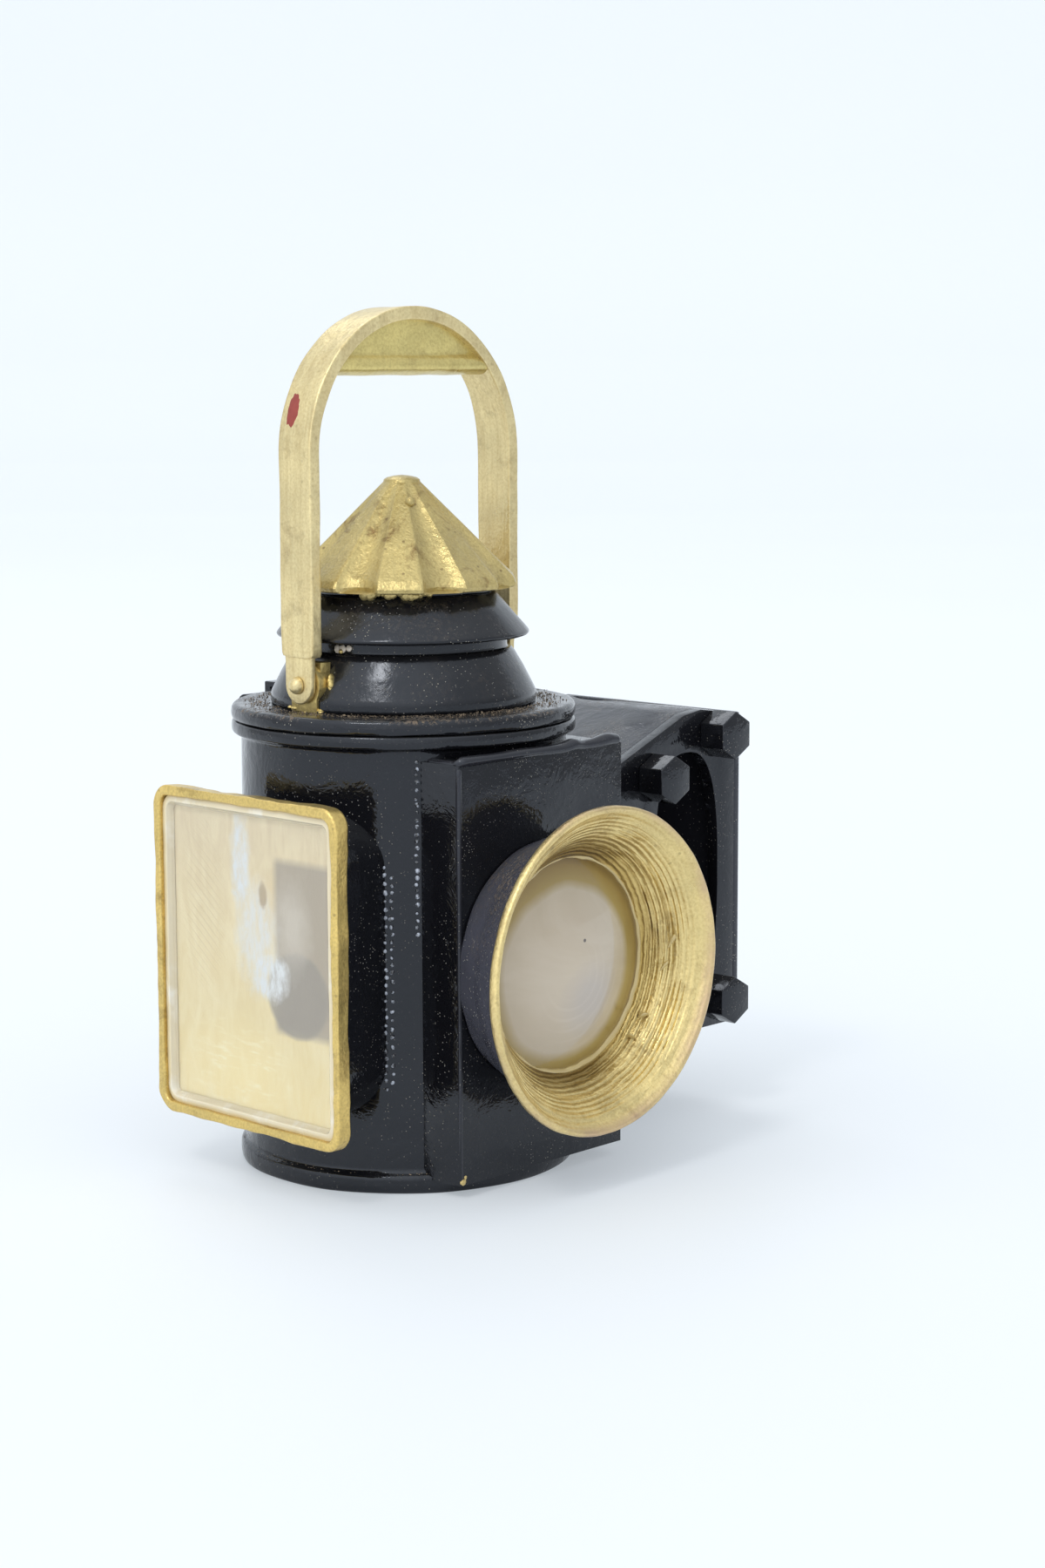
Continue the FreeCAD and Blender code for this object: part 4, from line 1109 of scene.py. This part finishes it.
def build_tongue(name, side):
    """Riveted end of the strap: a thin rounded tongue that steps in from the wide strap."""
    x_out = side * (STRAP_OUT_X - 0.2)
    x_in = x_out - side
    half = 2.7
    count = 20
    outline = []
    for k in range(count + 1):
        tip = polar(math.pi + math.pi * k / count, half)
        outline.append((tip.x, PIVOT_Z + tip.y))
    outline += [(half, STRAP_END_Z - 0.6), (half * 1.05, STRAP_END_Z + 0.6),
                (-half * 1.05, STRAP_END_Z + 0.6), (-half, STRAP_END_Z - 0.6)]
    bm = bmesh.new()
    verts = [bm.verts.new((x_in, y, z)) for y, z in outline]
    face = bm.faces.new(verts)
    pushed = bmesh.ops.extrude_face_region(bm, geom=[face])
    moved = [g for g in pushed["geom"] if isinstance(g, bmesh.types.BMVert)]
    bmesh.ops.translate(bm, vec=(x_out - x_in, 0, 0), verts=moved)
    piece = finished("handle_tongue_" + name, bm, 50)
    rounded_over(piece, 0.25, 3, 40, 60)
    dress(piece, GOLD_STRAP, "handle", "gold_paint", "handle_strap")

    dress_softened("handle_lug_" + name, 0.3, GOLD_LUG, "lid", "gold_paint")
    dress_softened("pivot_rivet_" + name, 0.05, GOLD_STRAP, "lid", "gold_paint", segments=1, angle=60)


def build_lug_paint():
    """Gold paint slopped round the foot of each lug, and a cream chip by the left one."""
    rng = random.Random(37)
    for name, side in SIDES:
        lug = "handle_lug_" + name
        inner = side * 17.5
        spots = []
        for _ in range(46):
            y = rng.uniform(low(lug).y - 0.7, high(lug).y + 0.3)
            x = side * rng.uniform(16.9, 19.3)
            height = LID_TOP + rng.uniform(0, 0.5)
            spots.append((Vector((x, y, height)), Vector((side * 0.3, 0, 1)), rng.uniform(0.35, 0.75)))
        for k in range(10):
            y = low(lug).y - rng.uniform(-0.1, 0.6)
            height = LID_TOP + 0.4 + k * 0.5
            spots.append((Vector((inner, y, height)), Vector((0, -1, 0.2)), rng.uniform(0.5, 0.85)))
        lumps = scatter("lug_paint_" + name, spots, 41, 0.55, rounds=2)
        wavy(lumps, 0.1, 0.8, 5)
        dress(lumps, GOLD_LUG, "lid", "gold_paint")
    outward = Vector((-0.98, -0.2, 0.1))
    spots = [(Vector(place), outward, size) for place, size in (
        ((-15, -2.2, 76), 0.55), ((-14.9, -3.1, 76.1), 0.62), ((-14.6, -4.1, 76.2), 0.45))]
    chip = scatter("cream_chip", spots, 43, 0.35, rounds=2)
    wavy(chip, 0.12, 0.6, 8)
    dress(chip, CHIP, "lid", "black_enamel")
    bead = scatter("cream_chip_gold", [(Vector((-15.1, -3, 75.7)), outward, 0.38)], 45, 0.8, rounds=2)
    dress(bead, GOLD_LUG, "lid", "black_enamel")
    for name, side in SIDES:
        lug = "handle_lug_" + name
        spots = [(Vector((side * (19.2 - 0.25 * k), low(lug).y + 0.4 - 0.22 * k, LID_TOP + 0.12)), UP,
                  rng.uniform(0.35, 0.5)) for k in range(12)]
        dress(scatter("lug_outline_" + name, spots, 47, 0.6, rounds=2), BLACK, "lid", "black_enamel")


# ---------- hinge and candle


def build_hinge():
    """Both hinge leaves and the pin."""
    dress_softened("body_hinge_leaf", 0.22, BLACK, "body", "black_enamel")
    dress_softened("lid_hinge_leaf", 0.22, BLACK, "lid", "black_enamel")
    dress_softened("hinge_pin", 0.15, STEEL, "body", "bright_steel")


def build_candle():
    """Tea light: crimped tin cup, wax with a raised rim and a twisted wick."""
    cup_r = high("candle_cup").x
    z0 = low("candle_cup").z
    z1 = high("candle_cup").z

    def crimped(r, h, angle):
        if r < cup_r - 0.2 or not z0 + 1 < h < z1 - 1.2:
            return r, h
        return r + 0.12 * math.cos(angle * 72) - 0.12, h

    outline = [(0.3, z0), (cup_r - 0.8, z0), (cup_r - 0.1, z0 + 0.5), (cup_r, z0 + 1.4),
               (cup_r, z0 + 6), (cup_r, z1 - 1.6), (cup_r, z1 - 0.5), (cup_r - 0.15, z1),
               (cup_r - 0.4, z1 - 0.3), (cup_r - 0.5, z0 + 1.2), (cup_r - 0.9, z0 + 0.4),
               (0.3, z0 + 0.4)]
    cup = turned("candle_cup_finish", outline, steps=288, shape=crimped, smooth_angle=60)
    dress(cup, TIN, "body", "candle_tin", "candle_cup")

    wax_top = high("candle_wax").z
    wax_r = cup_r - 0.55
    curve = [(0, z0 + 0.5), (wax_r * 0.5, z0 + 0.5), (wax_r - 0.5, z0 + 0.6),
             (wax_r, z0 + 1.4), (wax_r, wax_top), (wax_r - 0.5, wax_top - 0.25),
             (wax_r - 2, wax_top - 0.4), (wax_r * 0.5, wax_top - 0.35), (2.5, wax_top - 0.15),
             (1, wax_top), (0, wax_top)]
    wax = dome("candle_wax_finish", curve)
    wavy(wax, 0.05, 6, 41)
    dress(wax, WAX, "body", "candle_wax", "candle_wax")

    loops = []
    tall = high("candle_wick").z - wax_top
    count = 14
    for k in range(count + 1):
        t = k / count
        bend = Vector((0.25 * math.sin(t * 2.2), -0.2 * t, wax_top - 0.4 + (tall + 0.3) * t))
        girth = 0.5 * (1 + 0.12 * math.sin(t * 40)) * (1 if t < 0.95 else 0.6)
        loops.append([bend + polar(TAU * j / count + t * 5, girth) for j in range(count)])
    wick = skin("candle_wick_finish", loops, capped=True, smooth_angle=70)
    dress(wick, WICK, "body", "wick_cotton", "candle_wick")
    paint_nodes(STEEL, "candle_tray")
    paint_nodes(REFLECTOR, "reflector")


# ---------- small surface details


def drop_column(rng, x, y, z0, z1, spacing):
    """Column of small paint droplets on the body at (x, y)."""
    spots = []
    outward = Vector((x, y, 0)).normalized()
    z = z0
    while z < z1:
        place = outward * (BODY_R + 0.06) + Vector((rng.uniform(-0.15, 0.15), 0, z))
        spots.append((place, outward, rng.uniform(0.24, 0.38)))
        z += rng.uniform(*spacing)
    return spots


def build_droplets():
    """Rows of paint droplets down the seams, and brown grit where it gathers."""
    rng = random.Random(7)
    neck_y = low("window_neck").y
    seam_x = -math.sqrt(BODY_R ** 2 - neck_y ** 2)
    spots = drop_column(rng, seam_x - 0.15, neck_y - 0.05, 15, 47, (1, 1.35))
    spots += drop_column(rng, seam_x + 0.45, neck_y - 0.75, 16, 46, (1, 1.5))
    spots += drop_column(rng, -15.25, -18.15, 37, 62, (0.8, 1.25))
    # the droplets' pale patches are painted glints
    dress(scatter("seam_droplets", spots, 3, 0.85, rounds=2), WET_WITH_PAINTED_GLINTS, "body", "black_enamel")

    def crumbs(count, radius_low, radius_high, near, height, size):
        made = []
        for _ in range(count):
            angle = rng.uniform(0, TAU)
            radius = rng.triangular(radius_low, radius_high, near)
            lift = height + abs(rng.gauss(0, 0.08))
            made.append((polar(angle, radius, lift), UP, rng.uniform(*size)))
        return made

    grit = crumbs(1500, 19.35, 24, 20.6, LID_TOP + 0.02, (0.03, 0.12))
    dress(scatter("lid_grit", grit, 5, 0.8), GRIT, "lid", "black_enamel")
    grit = crumbs(420, 23.7, 24.5, 23.8, 2.75, (0.03, 0.11))
    top = high("lens_housing").z
    for _ in range(520):
        x = LENS_X + rng.uniform(-15.5, 15.5)
        y = low("lens_housing").y + rng.triangular(1.2, 9, 1.4)
        if math.hypot(x, y) > BODY_R:
            grit.append((Vector((x, y, top + 0.03)), UP, rng.uniform(0.03, 0.12)))
    dress(scatter("body_grit", grit, 6, 0.8), GRIT, "body", "black_enamel")


# ---------- stage, light and camera


def build_stage():
    """Pale floor that sweeps up into a pale backdrop far behind."""
    profile = [(-6, 0), (1.9, 0), (2.15, 0.03), (2.35, 0.12), (2.5, 0.3), (2.6, 0.6), (2.65, 2.6)]
    across = polar(VIEW_AZ)
    forward = UP.cross(across)
    bm = bmesh.new()
    rows = []
    for run, rise in filled_in(profile, 0.12, closed=False):
        place = forward * run + UP * rise
        rows.append([bm.verts.new(place + across * side) for side in (-4, -2, 0, 2, 4)])
    for a, b in zip(rows, rows[1:]):
        for k in range(4):
            bm.faces.new((a[k], a[k + 1], b[k + 1], b[k]))
    floor = finished("stage_floor", bm, 80, unit=1)
    n = Nodes("floor_look")
    tone = n.mix(n.noise(3, 3), (0.5, 0.51, 0.52), (0.52, 0.53, 0.54))
    n.set(Base_Color=tone, Roughness=0.6, Specular_IOR_Level=0.2, Emission_Color=(0.86, 0.93, 1),
          Emission_Strength=0.36, Normal=n.bump(n.noise(60, 3), 0.0001, 0.2))
    floor.data.materials.append(n.material)


def soft_light(name, place, aim, size, watts, tint):
    """Rectangular lamp at a place, aimed at a point."""
    data = bpy.data.lights.new(name, "AREA")
    data.shape = "RECTANGLE"
    data.size, data.size_y = size
    data.energy = watts
    data.color = tint
    lamp = bpy.data.objects.new(name, data)
    lamp.location = place
    lamp.rotation_euler = (Vector(aim) - Vector(place)).to_track_quat("-Z", "Y").to_euler()
    bpy.context.scene.collection.objects.link(lamp)


VIEW_AZ = math.radians(-46.26)
VIEW_EL = math.radians(8.27)
VIEW_ROLL = math.radians(-0.19)
CAMERA_PLACE = (-0.29267, -0.304, 0.11613)
LENS_MM = 66.76


def build_camera():
    """The camera that took the photo: place, aim, roll and lens as they were fitted."""
    right = polar(VIEW_AZ)
    back = right.cross(UP) * math.cos(VIEW_EL) + UP * math.sin(VIEW_EL)
    up = back.cross(right)
    c, s = math.cos(VIEW_ROLL), math.sin(VIEW_ROLL)
    right, up = right * c + up * s, up * c - right * s
    data = bpy.data.cameras.new("photo_camera")
    data.sensor_width = 36
    data.lens = LENS_MM
    data.clip_start = 0.01
    camera = bpy.data.objects.new("photo_camera", data)
    rotation = Matrix((right, up, back)).transposed()
    camera.matrix_world = Matrix.Translation(CAMERA_PLACE) @ rotation.to_4x4()
    bpy.context.scene.collection.objects.link(camera)
    bpy.context.scene.camera = camera


def build_light():
    """Room light that is brightest up and to the left, with one soft key and one light behind."""
    world = bpy.data.worlds.new("soft_room")
    world.use_nodes = True
    tree = world.node_tree
    facing = tree.nodes.new("ShaderNodeVectorMath")
    facing.operation = "DOT_PRODUCT"
    facing.inputs[1].default_value = Vector((-0.7, -0.22, 0.68)).normalized()
    tree.links.new(tree.nodes.new("ShaderNodeTexCoord").outputs["Generated"], facing.inputs[0])
    share = tree.nodes.new("ShaderNodeMapRange")
    share.inputs["From Min"].default_value = -1
    tree.links.new(facing.outputs["Value"], share.inputs["Value"])
    fall = tree.nodes.new("ShaderNodeValToRGB")
    levels = ((0, 0.42), (0.45, 0.66), (0.72, 0.98), (0.9, 1.45), (1, 1.75))
    set_stops(fall.color_ramp, [(at, shaded((0.9, 0.95, 1), level)) for at, level in levels])
    tree.links.new(share.outputs["Result"], fall.inputs["Fac"])
    background = tree.nodes["Background"]
    tree.links.new(fall.outputs["Color"], background.inputs["Color"])
    background.inputs["Strength"].default_value = 0.98
    bpy.context.scene.world = world
    soft_light("key_left", (-0.85, -0.25, 1.15), (0, 0, 0.05), (0.26, 0.26), 3.2, (1, 0.985, 0.96))
    soft_light("top_back", (0.35, 0.75, 1.2), (0, 0, 0.05), (0.5, 0.5), 2, (0.96, 0.98, 1))
    view = bpy.context.scene.view_settings
    view.view_transform = "Standard"
    view.look = "None"


build_body()
build_lid()
build_cap()
build_lens()
build_window()
build_side_box()
build_handle()
build_lug_paint()
build_hinge()
build_candle()
build_droplets()
build_stage()
build_light()
build_camera()
